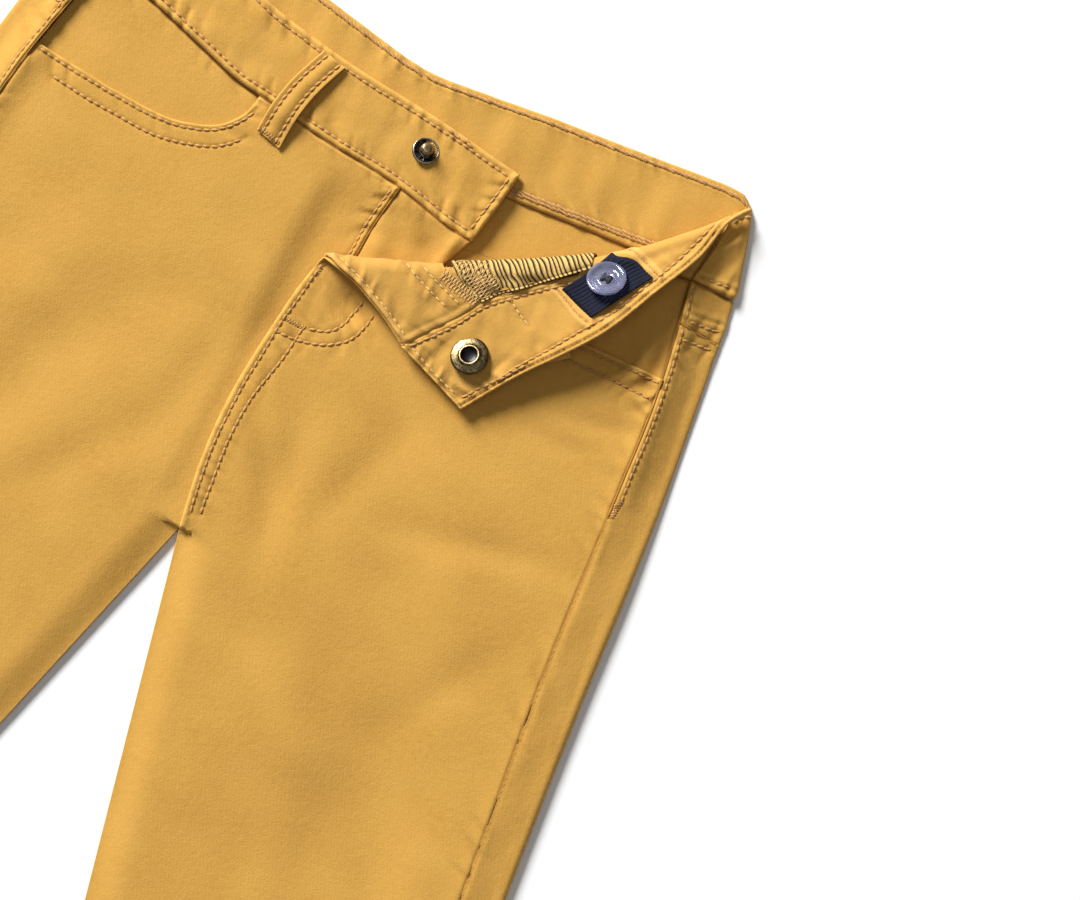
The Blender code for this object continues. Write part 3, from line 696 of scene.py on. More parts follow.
def cloth(solid, outline, lie, outer, inner, made_of, kind="cloth", relief=None, free=(),
          seams=(), rows=(), puckers=(), grooves=(), lips=(), detail=(), more_points=(), fine=FINE,
          coarse=3, grain=None):
    """A thin closed shell of cloth with its sewing, which stands for one of the solids.

    A face is 1 for the outside and -1 for the inside. A row is its line, style and face. A pucker
    is its line, reach, wavelength and height. A groove is its line, face, width and depth. A lip is
    its line, face, reach and height. The detail is lines along which the mesh is fine.
    """
    name = f"{solid}_{kind}"
    shape = Piece(lie, outer, inner, relief, free, seams, rows, puckers, grooves, lips, detail)
    outline = thinned(filled(np.array(outline)), lie)
    rim = Lines([closed(outline)])
    extra = [r[inside(r, outline)] for r in rings(outline, RIM_DEPTHS)]
    extra = [r[rim.near(r)[0] > 0.2] for r in extra if len(r)]
    grid = spread(outline, shape.marked, lie, fine, coarse)
    grid = np.vstack([grid] + [line[inside(line, outline)] for line in more_points])
    grid = grid[rim.near(grid)[0] > RIM_CLEAR]
    points, faces = triangulated(outline, np.vstack(extra + [grid]))
    count = len(points)
    tops = in_metres(*lie(points[:, 0], points[:, 1], shape.face(points, 1)))
    bottoms = in_metres(*lie(points[:, 0], points[:, 1], shape.face(points, -1)))
    directed = {(int(i), int(j)) for f in faces for i, j in ((f[0], f[1]), (f[1], f[2]), (f[2], f[0]))}
    walls = [(i, j) for i, j in sorted(directed) if (j, i) not in directed]
    walls = [t for i, j in walls for t in ((j, i, i + count), (j, i + count, j + count))]
    both = np.vstack([tops, bottoms])
    triangles = np.vstack([faces, faces[:, ::-1] + count, np.array(walls)])
    triangles = facing_out(both, triangles)
    places = np.column_stack(grain(points[:, 0], points[:, 1])) if grain else points
    # How far each point stands out, for the twill's painted shade and painted highlight.
    painted_shading = np.concatenate([shape.painted_shading(points, 1), shape.painted_shading(points, -1)])
    piece = new_mesh(name, both, triangles, made_of, np.vstack([places, places]), painted_shading)
    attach(piece, "root")
    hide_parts(solid)
    for style in sorted({r[1] for r in rows}):
        chosen = [r for r in rows if r[1] == style]
        thread = sew(f"{name}_{style}", shape, chosen, style)


# ---- Sewing ----

STYLES = {  # pitch, stitch length, width, height, slant, material
    "topstitch": (3.05, 2.9, 1.15, 0.85, 0.32, "tan"),
    "chain": (1.75, 3.3, 0.95, 0.85, 1, "tan"),
    "cable": (1.9, 3.5, 1.15, 1.1, 1.25, "tan"),
    "fine_stitch": (2.5, 2.2, 0.72, 0.55, 0.12, "pale"),
    "slot_stitch": (1.5, 1.9, 0.75, 0.6, 0.5, "tan"),
    "plain_stitch": (2.6, 1.6, 0.32, 0.2, 0.05, "yellow"),
    "bartack": (0.55, 1.8, 0.6, 0.6, 0.5, "tan"),
    "overlock": (0.62, 6.4, 0.42, 0.5, 1.5, "gold"),
}
ACROSS_STYLES = ("bartack", "overlock")  # their stitches lie across their row
STATIONS = np.array([0, 0.12, 0.35, 0.65, 0.88, 1])  # where along a stitch its rings of points are
ROUND = 6  # sides of a stitch
THREADS = {}  # materials by name


def stitched(style, face, *lines):
    """Rows of one style on one face."""
    return [(line, style, face) for line in lines]


def sew(name, shape, rows, style):
    """Stitches along or across rows of one style."""
    pitch, long, wide, high, slant, _ = STYLES[style]
    across = style in ACROSS_STYLES
    points, faces = [], []
    count = 0
    for line, _, face in rows:
        line = np.array(line, float)
        run = run_of(line)
        starts = np.arange(0.3, max(run[-1] - (0 if across else long), 0.4), pitch)
        wobble = 0.12 * np.sin(starts * 2.3 + 0.7) + 0.06 * np.sin(starts * 5.1)
        if across:
            at = np.broadcast_to(starts[:, None], (len(starts), len(STATIONS)))
            shift = (STATIONS - 0.5)[None, :] * long * (1 + 1.2 * wobble[:, None])
            way = np.where(np.arange(len(starts)) % 2, 1, -1)[:, None]
            at = at + (STATIONS - 0.5)[None, :] * slant * way
        else:
            at = starts[:, None] + STATIONS[None, :] * long
            shift = (0.5 - STATIONS)[None, :] * slant + wobble[:, None]
        before, middle, further = (
            np.stack([np.interp(at + reach, run, line[:, k]) for k in (0, 1)], axis=-1)
            for reach in (-0.3, 0, 0.3)
        )
        ahead = unit(further - before)
        middle = middle + shift[..., None] * np.stack([ahead[..., 1], -ahead[..., 0]], axis=-1)
        flat = middle.reshape(-1, 2)
        bulge = np.sin(pi * np.clip(STATIONS, 0.02, 0.98)) ** 0.55
        base = shape.face(flat, face)
        lift = np.tile(high * (0.5 * bulge - 0.12), len(starts))
        here = in_metres(*shape.lie(flat[:, 0], flat[:, 1], base + face * lift))
        above = in_metres(*shape.lie(flat[:, 0], flat[:, 1], base + face * (lift + 0.5)))
        up = unit(above - here)
        along = here.reshape(len(starts), len(STATIONS), 3)
        side = np.cross(unit(np.gradient(along, axis=1).reshape(-1, 3)), up)
        radius = np.tile(np.sin(pi * np.clip(STATIONS, 0.03, 0.97)) ** 0.45, len(starts))[:, None]
        around_it = []
        for angle in 2 * pi * np.arange(ROUND) / ROUND:
            ring = side * np.cos(angle) * wide / 2 + up * np.sin(angle) * high / 2
            around_it.append(here + ring * radius * MM)
        points.append(np.stack(around_it, axis=1).reshape(-1, 3))
        for _ in starts:
            faces += tube_faces(len(STATIONS), ROUND, count)
            count += len(STATIONS) * ROUND
    thread = new_mesh(name, np.vstack(points), faces, THREADS[STYLES[style][5]])
    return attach(thread, "root")


# ---- Materials ----

MUSTARD = (0.67, 0.372, 0.074)
MUSTARD_PALE = (0.71, 0.408, 0.088)
MUSTARD_DEEP = (0.54, 0.28, 0.048)
INSIDE = (0.60, 0.335, 0.078)
INSIDE_PALE = (0.66, 0.38, 0.098)
DARK_STRIPE = (0.03, 0.024, 0.02)
STRIPE_PITCH = 1.75
STRIPE_TURN = 0.21


def node(tree, kind, **values):
    made = tree.nodes.new(kind)
    for key, value in values.items():
        setattr(made, key, value)
    return made


def material(name, color, roughness, **inputs):
    """A plain material, with more of its shader's inputs by name, and its shader."""
    made = bpy.data.materials.new(name)
    made.use_nodes = True
    shader = made.node_tree.nodes["Principled BSDF"]
    shader.inputs["Base Color"].default_value = (*color, 1)
    shader.inputs["Roughness"].default_value = roughness
    for key, value in inputs.items():
        shader.inputs[key.replace("_", " ")].default_value = value
    return made, shader


def mixed(tree, factor, low, high):
    """A colour between two, by a factor."""
    mix = node(tree, "ShaderNodeMix", data_type="RGBA")
    tree.links.new(factor, mix.inputs["Factor"])
    for key, value in (("A", low), ("B", high)):
        socket = [s for s in mix.inputs if s.name == key and s.type == "RGBA"][0]
        if isinstance(value, bpy.types.NodeSocket):
            tree.links.new(value, socket)
        else:
            socket.default_value = (*value, 1)
    return [s for s in mix.outputs if s.type == "RGBA"][0]


def spotted(tree, place, scale, detail=3, rough=0.5, distortion=0):
    noise = node(tree, "ShaderNodeTexNoise")
    noise.inputs["Scale"].default_value = scale
    noise.inputs["Detail"].default_value = detail
    noise.inputs["Roughness"].default_value = rough
    noise.inputs["Distortion"].default_value = distortion
    tree.links.new(place, noise.inputs["Vector"])
    return noise.outputs["Fac"]


def stretched(tree, place, turn, scale):
    """Coordinates turned about Z and then scaled."""
    turned_place = node(tree, "ShaderNodeMapping")
    turned_place.inputs["Rotation"].default_value = (0, 0, turn)
    tree.links.new(place, turned_place.inputs["Vector"])
    scaled = node(tree, "ShaderNodeMapping")
    scaled.inputs["Scale"].default_value = scale
    tree.links.new(turned_place.outputs[0], scaled.inputs["Vector"])
    return scaled.outputs[0]


def bumped(tree, heights, shader):
    """Bumps of several heights, given with how deep each is in millimetres."""
    before = None
    for height, depth in heights:
        bump = node(tree, "ShaderNodeBump")
        bump.inputs["Strength"].default_value = 1
        bump.inputs["Distance"].default_value = depth * MM
        tree.links.new(height, bump.inputs["Height"])
        if before:
            tree.links.new(before, bump.inputs["Normal"])
        before = bump.outputs[0]
    tree.links.new(before, shader.inputs["Normal"])


def ranged(tree, value, low, high, to_low=0, to_high=1):
    made = node(tree, "ShaderNodeMapRange")
    tree.links.new(value, made.inputs["Value"])
    for key, number in (("From Min", low), ("From Max", high), ("To Min", to_low), ("To Max", to_high)):
        made.inputs[key].default_value = number
    return made.outputs[0]


def blend(tree, value, low, high, color, other):
    """From one colour where the value is low to another where it is high."""
    return mixed(tree, ranged(tree, value, low, high), color, other)


def cloth_place(tree):
    return node(tree, "ShaderNodeAttribute", attribute_name="cloth_place").outputs["Vector"]


def waves(tree, place, period, distortion=0):
    """Bands across X, a period apart in millimetres."""
    wave = node(tree, "ShaderNodeTexWave", wave_type="BANDS", bands_direction="X")
    wave.inputs["Scale"].default_value = 2 * pi / 20 / period
    wave.inputs["Distortion"].default_value = distortion
    wave.inputs["Detail"].default_value = 0.5
    wave.inputs["Detail Scale"].default_value = 1.3
    tree.links.new(place, wave.inputs["Vector"])
    return wave.outputs["Fac"]


def twill(name, color, pale, deep):
    """Brushed cotton twill: fine steep ribs, a soft nap, slightly faded places, painted shade in its sewn
    recesses and painted highlight on its raised spots.
    """
    sheen = {"Sheen_Weight": 0.12, "Sheen_Roughness": 0.5, "Specular_IOR_Level": 0.25}
    made, shader = material(name, color, 0.88, **sheen)
    tree = made.node_tree
    place = cloth_place(tree)
    slow = spotted(tree, place, 0.035, 3, 0.55)
    mottled = spotted(tree, place, 0.35, 4, 0.6)
    nap = spotted(tree, stretched(tree, place, 0.5, (1.3, 0.8, 1)), 1.7, 3, 0.7)
    ribs = waves(tree, stretched(tree, place, 0.52, (1, 1, 1)), 0.52, 1.1)
    faded = blend(tree, slow, 0.35, 0.65, deep, pale)
    blotched = blend(tree, mottled, 0.3, 0.72, color, faded)
    grainy = blend(tree, nap, 0.25, 0.75, deep, blotched)
    ribbed = mixed(tree, ranged(tree, ribs, 0, 1, 0.85, 1), deep, grainy)
    painted_shading = node(tree, "ShaderNodeAttribute", attribute_name="painted_shading").outputs["Fac"]
    # Painted shade darkens the sewn recesses and troughs; painted highlight lightens ridges, lips and free
    # edges.
    dark = tuple(c * k for c, k in zip(deep, (0.62, 0.55, 0.45)))
    recess_shaded = blend(tree, painted_shading, -0.75, 0, dark, ribbed)
    ridge_highlighted = mixed(tree, ranged(tree, painted_shading, 0.1, 0.5, 0, 0.7), recess_shaded, tuple(1.1 * c for c in pale))
    tree.links.new(ridge_highlighted, shader.inputs["Base Color"])
    bumped(tree, [(ribs, 0.03), (nap, 0.17), (mottled, 0.17)], shader)
    return made


def thread_material(name, color):
    """Spun thread with a twist along it."""
    made, shader = material(name, color, 0.62, Sheen_Weight=0.15)
    tree = made.node_tree
    place = node(tree, "ShaderNodeTexCoord").outputs["Object"]
    fuzz = spotted(tree, place, 1400, 3)
    twist = waves(tree, stretched(tree, place, 0.8, (1000, 1000, 1000)), 0.45, 1.5)
    dark = tuple(0.62 * c for c in color)
    shade = blend(tree, twist, 0.1, 0.8, dark, color)
    speckled = blend(tree, fuzz, 0.3, 0.7, shade, tuple(min(1, 1.12 * c) for c in color))
    tree.links.new(speckled, shader.inputs["Base Color"])
    bumped(tree, [(twist, 0.08), (fuzz, 0.04)], shader)
    return made


def striped():
    """Mustard pocketing with thin, wavy, nearly black stripes."""
    made, shader = material("striped_pocketing", MUSTARD, 0.9, Specular_IOR_Level=0.2)
    tree = made.node_tree
    place = cloth_place(tree)
    lines = waves(tree, stretched(tree, place, STRIPE_TURN, (1, 1, 1)), STRIPE_PITCH, 3.4)
    weave = spotted(tree, place, 2.2, 3, 0.6)
    ground = blend(tree, weave, 0.3, 0.75, (0.56, 0.34, 0.09), (0.85, 0.56, 0.19))
    color = blend(tree, lines, 0.62, 0.82, ground, DARK_STRIPE)
    tree.links.new(color, shader.inputs["Base Color"])
    bumped(tree, [(lines, 0.5), (weave, 0.18)], shader)
    return made


def navy_elastic():
    """Knitted elastic, whose ribs are in its shape, with fine crosswise stitches."""
    made, shader = material("navy_elastic", (0.01, 0.012, 0.032), 0.8, Specular_IOR_Level=0.2)
    tree = made.node_tree
    place = cloth_place(tree)
    knit = waves(tree, stretched(tree, place, pi / 2, (1, 1, 1)), 0.8, 0.8)
    fuzz = spotted(tree, place, 2.6, 3)
    color = blend(tree, fuzz, 0.3, 0.75, (0.004, 0.005, 0.014), (0.014, 0.016, 0.036))
    tree.links.new(color, shader.inputs["Base Color"])
    bumped(tree, [(knit, 0.12), (fuzz, 0.1)], shader)
    return made


def antique_brass(name, low, high, roughness):
    made, shader = material(name, high, roughness, Metallic=1)
    tree = made.node_tree
    place = node(tree, "ShaderNodeTexCoord").outputs["Object"]
    stains = spotted(tree, place, 900, 4, 0.6)
    scratch = spotted(tree, stretched(tree, place, 0.4, (1, 8, 1)), 500, 3, 0.6)
    color = blend(tree, stains, 0.35, 0.65, low, high)
    tree.links.new(color, shader.inputs["Base Color"])
    rough = ranged(tree, scratch, 0.3, 0.7, roughness - 0.1, roughness + 0.15)
    tree.links.new(rough, shader.inputs["Roughness"])
    bumped(tree, [(scratch, 0.02), (stains, 0.03)], shader)
    return made


def clear_resin():
    clear = {"Transmission_Weight": 0.78, "IOR": 1.5}
    made, shader = material("clear_resin", (0.5, 0.52, 0.75), 0.11, **clear)
    tree = made.node_tree
    place = node(tree, "ShaderNodeTexCoord").outputs["Object"]
    cloudy = spotted(tree, place, 120, 1)
    color = blend(tree, cloudy, 0.3, 0.7, (0.42, 0.44, 0.68), (0.56, 0.59, 0.82))
    tree.links.new(color, shader.inputs["Base Color"])
    return made


TWILL = twill("mustard_twill", MUSTARD, MUSTARD_PALE, MUSTARD_DEEP)
TWILL_INSIDE = twill("mustard_twill_inside", INSIDE, INSIDE_PALE, MUSTARD_DEEP)
STRIPED = striped()
ELASTIC_CLOTH = navy_elastic()
THREADS["tan"] = thread_material("tan_thread", (0.55, 0.285, 0.068))
THREADS["gold"] = thread_material("gold_thread", (0.68, 0.42, 0.14))
THREADS["pale"] = thread_material("pale_thread", (0.72, 0.46, 0.15))
THREADS["yellow"] = thread_material("yellow_thread", (0.56, 0.31, 0.064))


# ---- Back ----

HEM_DEPTH = 15  # how far above each hem its stitching is
SEAM_OVERLAP = 0.15  # seamed pieces meet with this much behind each other
CORNER_RIDGES = (  # x, v, heading in degrees, half length, half width, height
    (134.5, 18.5, -53, 11, 1.8, 1.1),
    (139, 24, -50, 9, 3, -0.8),
    (131, 13, -53, 9, 2.5, -0.7),
)


def seen_back(p, v):
    x, v, _ = lie_back(p, v, 0)
    return x, v


def mirrored(side, points):
    return np.array(points) * (side, 1)


def line_under(side, points, thick=CLOTH):
    points = np.array(points, float)
    return mirrored(side, np.column_stack(under(points[:, 0], points[:, 1], thick)))


def line_over(side, points, thick=CLOTH):
    points = np.array(points, float)
    return mirrored(side, np.column_stack(over(points[:, 0], points[:, 1], thick)))


def seam_rise(to_seam, v):
    """Both sides of a side seam are lifted, most beside the pocket, by the cloth turned in behind it."""
    high = 0.8 + 1.2 * ramp(v, 34, 46) * (1 - ramp(v, 100, 160))
    return high * np.exp(-((to_seam / 6) ** 2))


def strip_relief(p, v):
    """The strip that shows beside the side seam, with soft dents."""
    inside, bend = bend_of(CLOTH)
    past = np.abs(p) - UNROLLED_FOLD - bend
    to_seam = fold_line(v) - inside - CLOTH - side_seam(v) - past
    soft = 0.3 * uneven(p * 3, v, 0.6) * ramp(past, 0, 4)
    return seam_rise(to_seam, v) * ramp(past, 0, 4) + soft


YOKE_END = (148.5, 54)
WELT_V = (54.6, 126)
LOW_SEAM_V = 520  # the side seams' stitching ends here


def make_back_panel(side, name):
    centre = down(yoke_seam(0), CROTCH_V, centre_line, -SEAM_OVERLAP)
    inner = down(CROTCH_V, HEM_INNER[1], inseam, -SEAM_OVERLAP)
    hem_run = level(HEM_INNER[0] + 1, HEM_OUTER[0] - 3.5, hem)
    seam_run = down(SEAM_END_V, YOKE_END[1], side_seam, -SEAM_OVERLAP)
    yoke_run = level(146, 0, yoke_seam)
    seam_line = line_over(side, seam_run)
    low_edge = line_under(side, hem_run)
    outline = joined(
        line_under(side, centre), line_under(side, inner), low_edge,
        line_over(side, [(HEM_OUTER[0] - 2.5, HEM_OUTER[1])]), seam_line,
        line_over(side, [YOKE_END]), line_under(side, yoke_run),
    )
    welt_row = line_over(side, down(*WELT_V, side_seam, 2.3))
    tack = line_over(side, down(124, 131.5, lambda v: side_seam(v) + 2.6 - 0.15 * (v - 124)))
    ditch_row = line_over(side, down(134, LOW_SEAM_V, side_seam, 0.7))
    upper_seam = line_over(side, down(132, YOKE_END[1], side_seam, -SEAM_OVERLAP))
    lower_seam = line_over(side, down(SEAM_END_V, 132, side_seam, -SEAM_OVERLAP))
    yoke_row = line_over(side, smooth([(135.8, 58.4), (142, 57.6), (150, 56.6)]))
    hem_row = line_over(side, level(196, 209.5, hem, -HEM_DEPTH))
    rows = stitched("topstitch", 1, welt_row) + stitched("bartack", 1, tack, tack[1:] + (side * 1.3, 0.8))
    rows += stitched("topstitch", 1, yoke_row) + stitched("plain_stitch", 1, ditch_row, hem_row)
    puckers = [
        (welt_row, 7, 9, 0.34), (line_over(side, down(130, LOW_SEAM_V, side_seam)), 6, 14, 0.22),
        (yoke_row, 5, 7, 0.3), (hem_row, 7, 9, 0.3),
    ]
    welt = line_over(side, down(*WELT_V, side_seam))
    leg_bend = back_bend(side, SHOWN_V + 1, 560, shares=np.linspace(0, 1, 9), step=3)
    cloth(
        name, outline, lie_back, CLOTH, SHELL_GAP, TWILL, relief=strip_relief, free=[low_edge],
        seams=[upper_seam], grooves=[(lower_seam, 1, 0.6, 0.5)], rows=rows, puckers=puckers,
        lips=[(welt, 1, 2.3, 0.4)], detail=back_bend(side, 50, SHOWN_V), more_points=leg_bend,
        coarse=4.5, grain=seen_back,
    )


def make_yoke(side, name):
    lower = level(0, 146, yoke_seam)
    upper = level(142, 0, back_waist_seam)
    low_line = line_under(side, lower)
    turned_low = line_over(side, [(148.5, 54.3), (side_seam(53.6) - SEAM_OVERLAP, 53.7)])
    turned_up = line_over(side, [(side_seam(37) - SEAM_OVERLAP, 37), (144, 36.3)])
    outline = joined(low_line, turned_low, turned_up, line_under(side, upper))
    across = smooth([(135.2, 50.9), (141, 50.3), (148, 49.2)])
    beside_seam = down(38.4, 53.4, side_seam, 2.3)
    rows = stitched("topstitch", 1, line_over(side, across), line_over(side, beside_seam))
    seams = [turned_low, turned_up, line_over(side, down(37, 53.6, side_seam))]
    puckers = [(rows[0][0], 5, 7, 0.35), (rows[1][0], 6, 9, 0.3)]
    lap = line_over(side, smooth([(134.3, 48.2), (141, 47.2), (147.5, 45.7)]))
    cloth(
        name, outline, lie_back, CLOTH, SHELL_GAP, TWILL, relief=strip_relief,
        seams=seams, rows=rows, puckers=puckers, grooves=[(lap, 1, 0.5, 0.45)], coarse=4,
        lips=[(seams[2], 1, 2.3, 0.4), (lap, 1, 3, 0.25)], detail=back_bend(side, 30, 60),
        grain=seen_back,
    )


def band_relief(p, v):
    """The inside of the back waistband is gathered by the elastic in it, and its outside sags."""
    x, _, _ = lie_back(p, v, 0, BAND)
    wavy = np.sin(x * 0.21 + 0.05 * v + 0.6 * np.sin(x * 0.05)) + 0.6 * np.sin(x * 0.47 - 0.07 * v)
    gathered = 0.3 * (wavy - 1.6) * np.exp(-(((v - 22) / 16) ** 2)) + 0.15 * (uneven(x, v, 0.6) - 1)
    _, bend = bend_of(BAND)
    outside = ramp(np.abs(p), UNROLLED_FOLD + bend, UNROLLED_FOLD + bend + 1)
    sags = ridges(CORNER_RIDGES, np.abs(x), v) * outside
    return gathered * (1 - outside) + sags


def make_back_waistband():
    def half(side):
        top = line_under(side, level(0, 131, back_waist), BAND)
        corner = smooth([(136, 1.5), (133, 3.8), (side_seam(6.5) - SEAM_OVERLAP, 6.5)])
        turned_top = line_over(side, corner, BAND)
        turned_low = line_over(side, [(side_seam(36.9) - SEAM_OVERLAP, 36.9), (143.5, 36.1)], BAND)
        low = line_under(side, level(143, 0, back_waist_seam), BAND)
        return joined(top, turned_top), joined(turned_low, low)

    left_top, left_low = half(1)
    right_top_run, right_low = half(-1)
    outline = joined(left_top, left_low, right_low[::-1], right_top_run[::-1])
    rows, puckers, lips, grooves = [], [], [], []
    for side in (1, -1):
        inside_top = line_under(side, level(0, 133, back_waist, 2.3), BAND)
        inside_low = line_under(side, level(0, 135, back_waist, 31.6), BAND)
        outside = line_over(side, smooth([(130.8, 33.9), (138, 33), (145, 32)]), BAND)
        upper = line_over(side, smooth([(131.5, 9.5), (134.5, 5.5), (138, 3.6)]), BAND)
        lower = line_under(side, level(0, 135, back_waist, 32.7), BAND)
        rows += stitched("cable", -1, inside_top, inside_low, lower)
        rows += stitched("topstitch", 1, outside, upper)
        puckers += [(inside_top, 5, 7, 0.35), (inside_low, 8, 9, 0.4), (outside, 6, 8, 0.4)]
        lips += [(inside_top, -1, 2.2, 0.2), (outside, 1, 2.6, 0.3)]
        crease = line_under(side, level(0, 137, back_waist, 0.9), BAND)
        grooves.append((crease, -1, 0.35, 0.3))
    free = [np.vstack([right_top_run[::-1], left_top])]
    seams = [left_low, right_low]
    cloth(
        "waistband_back", outline, lie_back_band, BAND, 0, TWILL,
        relief=band_relief, free=free, seams=seams, rows=rows, puckers=puckers, grooves=grooves,
        lips=lips, detail=back_bend(1, -4, 40, BAND) + back_bend(-1, -4, 40, BAND), coarse=2.4,
    )


# ---- Right front ----

BAND_OUT = 0.9
BAND_IN = BAND_OUT - BAND
FLY_SEAM = ((12.7, 59.3), (10.3, 79), (9.9, 91), (5, 110), (0.2, 126))
SHIELD_EDGE = ((12, 119), (28, 104), (38, 88), (41.5, 76.6), (46.3, 64.5))
BAND_FOLDS = (  # x, v, heading in degrees, half length, half width, height
    (-22, 42, 95, 13, 3, -0.5),
    (-14, 46, 80, 12, 3, 0.45),
    (0, 44, 100, 12, 3.5, -0.45),
    (26, 46, 75, 13, 3.2, -0.6),
    (33, 50, 80, 12, 2.6, 0.5),
    (40, 44, 70, 11, 3, -0.5),
)
SHIELD_CREASES = (  # x, v, heading in degrees, half length, half width, height
    (19, 68, 40, 14, 3.5, -0.7),
    (26, 76, 55, 16, 4.2, 0.7),
    (33, 72, 50, 12, 3, -0.8),
    (41, 70, 100, 9, 2.4, 0.9),
    (16, 84, 80, 14, 3.6, 0.5),
)


def make_front_right():
    waist = level(-51.5, 12.7, right_waist_seam, -SEAM_OVERLAP)
    fly = smooth(FLY_SEAM, 1.2) + (SEAM_OVERLAP, 0)
    centre = down(126, CROTCH_V, centre_line, SEAM_OVERLAP)
    inner = down(CROTCH_V, HEM_INNER[1], lambda v: SEAM_OVERLAP - inseam(v))
    hem_run = level(-HEM_INNER[0], -side_seam(SEAM_END_V), lambda x: hem(-x))
    seam_run = down(SEAM_END_V, 75.6, lambda v: SEAM_OVERLAP - side_seam(v))
    scoop = smooth(POCKET, 1.2)[::-1]
    outline = joined(waist, fly, centre, inner, hem_run, seam_run, scoop)
    hem_row = level(-HEM_INNER[0] - 1, -side_seam(LOW_SEAM_V) + 1, lambda x: hem(-x) - HEM_DEPTH)
    rows = stitched(
        "topstitch", 1, beside(scoop, -1.9)[2:-3], beside(scoop, -8.2)[10:-10],
        smooth(FLY_SEAM, 1.2)[1:44] - (2.6, 0),
    )
    rows += stitched("plain_stitch", 1, hem_row)
    puckers = [
        (rows[0][0], 8, 9, 0.3), (rows[2][0], 6, 8, 0.35), (hem_row, 8, 10, 0.3),
        (waist, 7, 9, 0.4), (seam_run, 5, 14, 0.2),
    ]

    def relief(x, v):
        return seam_rise(side_seam(v) + x, v) * ramp(v, 70, 84)

    lips = [(waist, 1, 2, 0.3), (fly[:42], 1, 2.5, 0.35), (scoop, 1, 1.9, 0.2)]
    cloth(
        "front_right", outline, lie_right, 0, -SHELL, TWILL, relief=relief,
        free=[hem_run, scoop], seams=[waist, fly, seam_run], rows=rows, puckers=puckers, lips=lips,
    )


def make_pocket_facing_right():
    top = level(-128, -40, right_waist_seam)
    inner = smooth([(-40, 56), (-42, 74), (-56, 86), (-95, 91), (-side_seam(89), 89)])
    side = down(88, 38, lambda v: -side_seam(v))
    cloth(
        "pocket_facing_right", joined(top, inner, side), lie_right,
        -CLOTH - SHELL_GAP, -2 * CLOTH - 0.1, TWILL, seams=[top], puckers=[(top, 8, 10, 0.3)],
    )


def make_waistband_right():
    top = level(-130.3, 51, right_waist)
    end = smooth([(51, 32.6), (49.4, 48), (46.8, 63.9)])
    low = level(46.8, -128.2, right_waist_seam)
    side = smooth([(-128.4, 36.9), (-130.3, -1)])
    rows = stitched(
        "topstitch", 1, level(-129, 47.6, right_waist, 3), smooth([(47.8, 35.4), (46.2, 48), (44.2, 60.6)]),
        level(43.6, -127.5, right_waist_seam, -3), level(18, 32, right_waist, 1.6),
    )
    puckers = [(rows[0][0], 6, 8, 0.34), (rows[2][0], 9, 8.5, 0.42), (rows[1][0], 5, 7, 0.3)]
    lips = [(top, 1, 2.9, 0.25), (end, 1, 2.9, 0.25), (low, 1, 2.9, 0.3)]

    def relief(x, v):
        return 0.35 * uneven(x, v, 0.45) + ridges(BAND_FOLDS, x, v)

    cloth(
        "waistband_right", joined(top, end, low, side), lie_right,
        BAND_OUT, BAND_IN, TWILL, relief=relief, free=[top, end, low[:30]], seams=[low[30:], side],
        rows=rows, puckers=puckers, lips=lips, coarse=2.4,
    )


def shield_relief(x, v):
    """The fly shield is crumpled where the fly is pulled open."""
    return 1.6 * ridges(SHIELD_CREASES, x, v) + 0.3 * uneven(x, v, 0.3)


def make_fly_shield():
    seam = smooth(FLY_SEAM, 1.2) - (SEAM_OVERLAP, 0)
    top = level(12.9, 46.3, right_waist_seam)
    edge = smooth(SHIELD_EDGE[::-1], 1.2)
    outline = joined(seam[::-1], top, edge)
    cloth(
        "fly_shield", outline, lie_right, 0, -SHELL, TWILL, relief=shield_relief,
        free=[edge], seams=[seam, top], puckers=[(top, 6, 9, 0.2)], coarse=2,
    )


# ---- Left front ----
# Its lines are places as seen from above, on the turned-out corner too.

FLY_FREE = (
    (-0.6, 95.4), (2.2, 96.6), (8.6, 98), (15.7, 99.6), (23, 102.4), (31.5, 106), (42.2, 111.8),
)
BAND_SEAM = (
    (42.5, 112.3), (50.4, 100.6), (55.3, 93.9), (62.8, 80.8), (71.6, 72.1), (77.9, 66), (89.1, 55.9),
)
BAND_EDGE = (
    (135.4, 1.5), (131, 9.8), (127, 27.7), (118.7, 47.5), (108.2, 71.5), (98.5, 86), (87.8, 100.5),
    (74.1, 122.8),
)
BAND_TIP = ((74.1, 122.8), (58, 117.3), (42.5, 112.3))
BAND_FOLDED = ((93.9, 49.4), (100, 45.3), (112, 40), (128.1, 36.9))
SCOOP = ((62.6, 66.4), (65.2, 69.4), (70, 74), (82, 77.4), (100, 77.8), (120, 76.4), (137, 75.6))
CENTRE = (  # the lapped centre edge of the left front, from the crotch up to the fly
    (0, 214), (-4.5, 190), (-7, 160), (-6, 137.1), (-4.9, 124), (-3.8, 112.4), (-1.8, 101),
)
CENTRE_ROW = (
    (0.7, 98.5), (-0.2, 104), (-0.9, 110.8), (-2.6, 124.8), (-3.3, 136.9), (-4.2, 160), (-2, 190), (1.5, 208),
)
CENTRE_ROW_2 = ((5.7, 124.1), (4.6, 135.2), (3.4, 142.9), (0.8, 159.3), (2.6, 190), (5, 206))
J_INNER = ((21.3, 103.9), (19.8, 109.7), (17.9, 116.7), (14.4, 120.7), (9.6, 122.7), (6, 123.9))
J_OUTER = (
    (27.4, 106.5), (26.1, 113.4), (23.5, 119.5), (19.7, 123.3), (15.4, 126.2), (9.5, 128.3), (4.6, 129.3),
    (-0.3, 129.7), (-4, 129.8),
)
J_TACK = ((6.2, 123.9), (-2.7, 123.9))
FLY_TACK = ((0.9, 97.6), (0.3, 103.4))
BAND_END_ROW = ((45.8, 110.6), (52.9, 113.3), (60.8, 116), (71, 119))
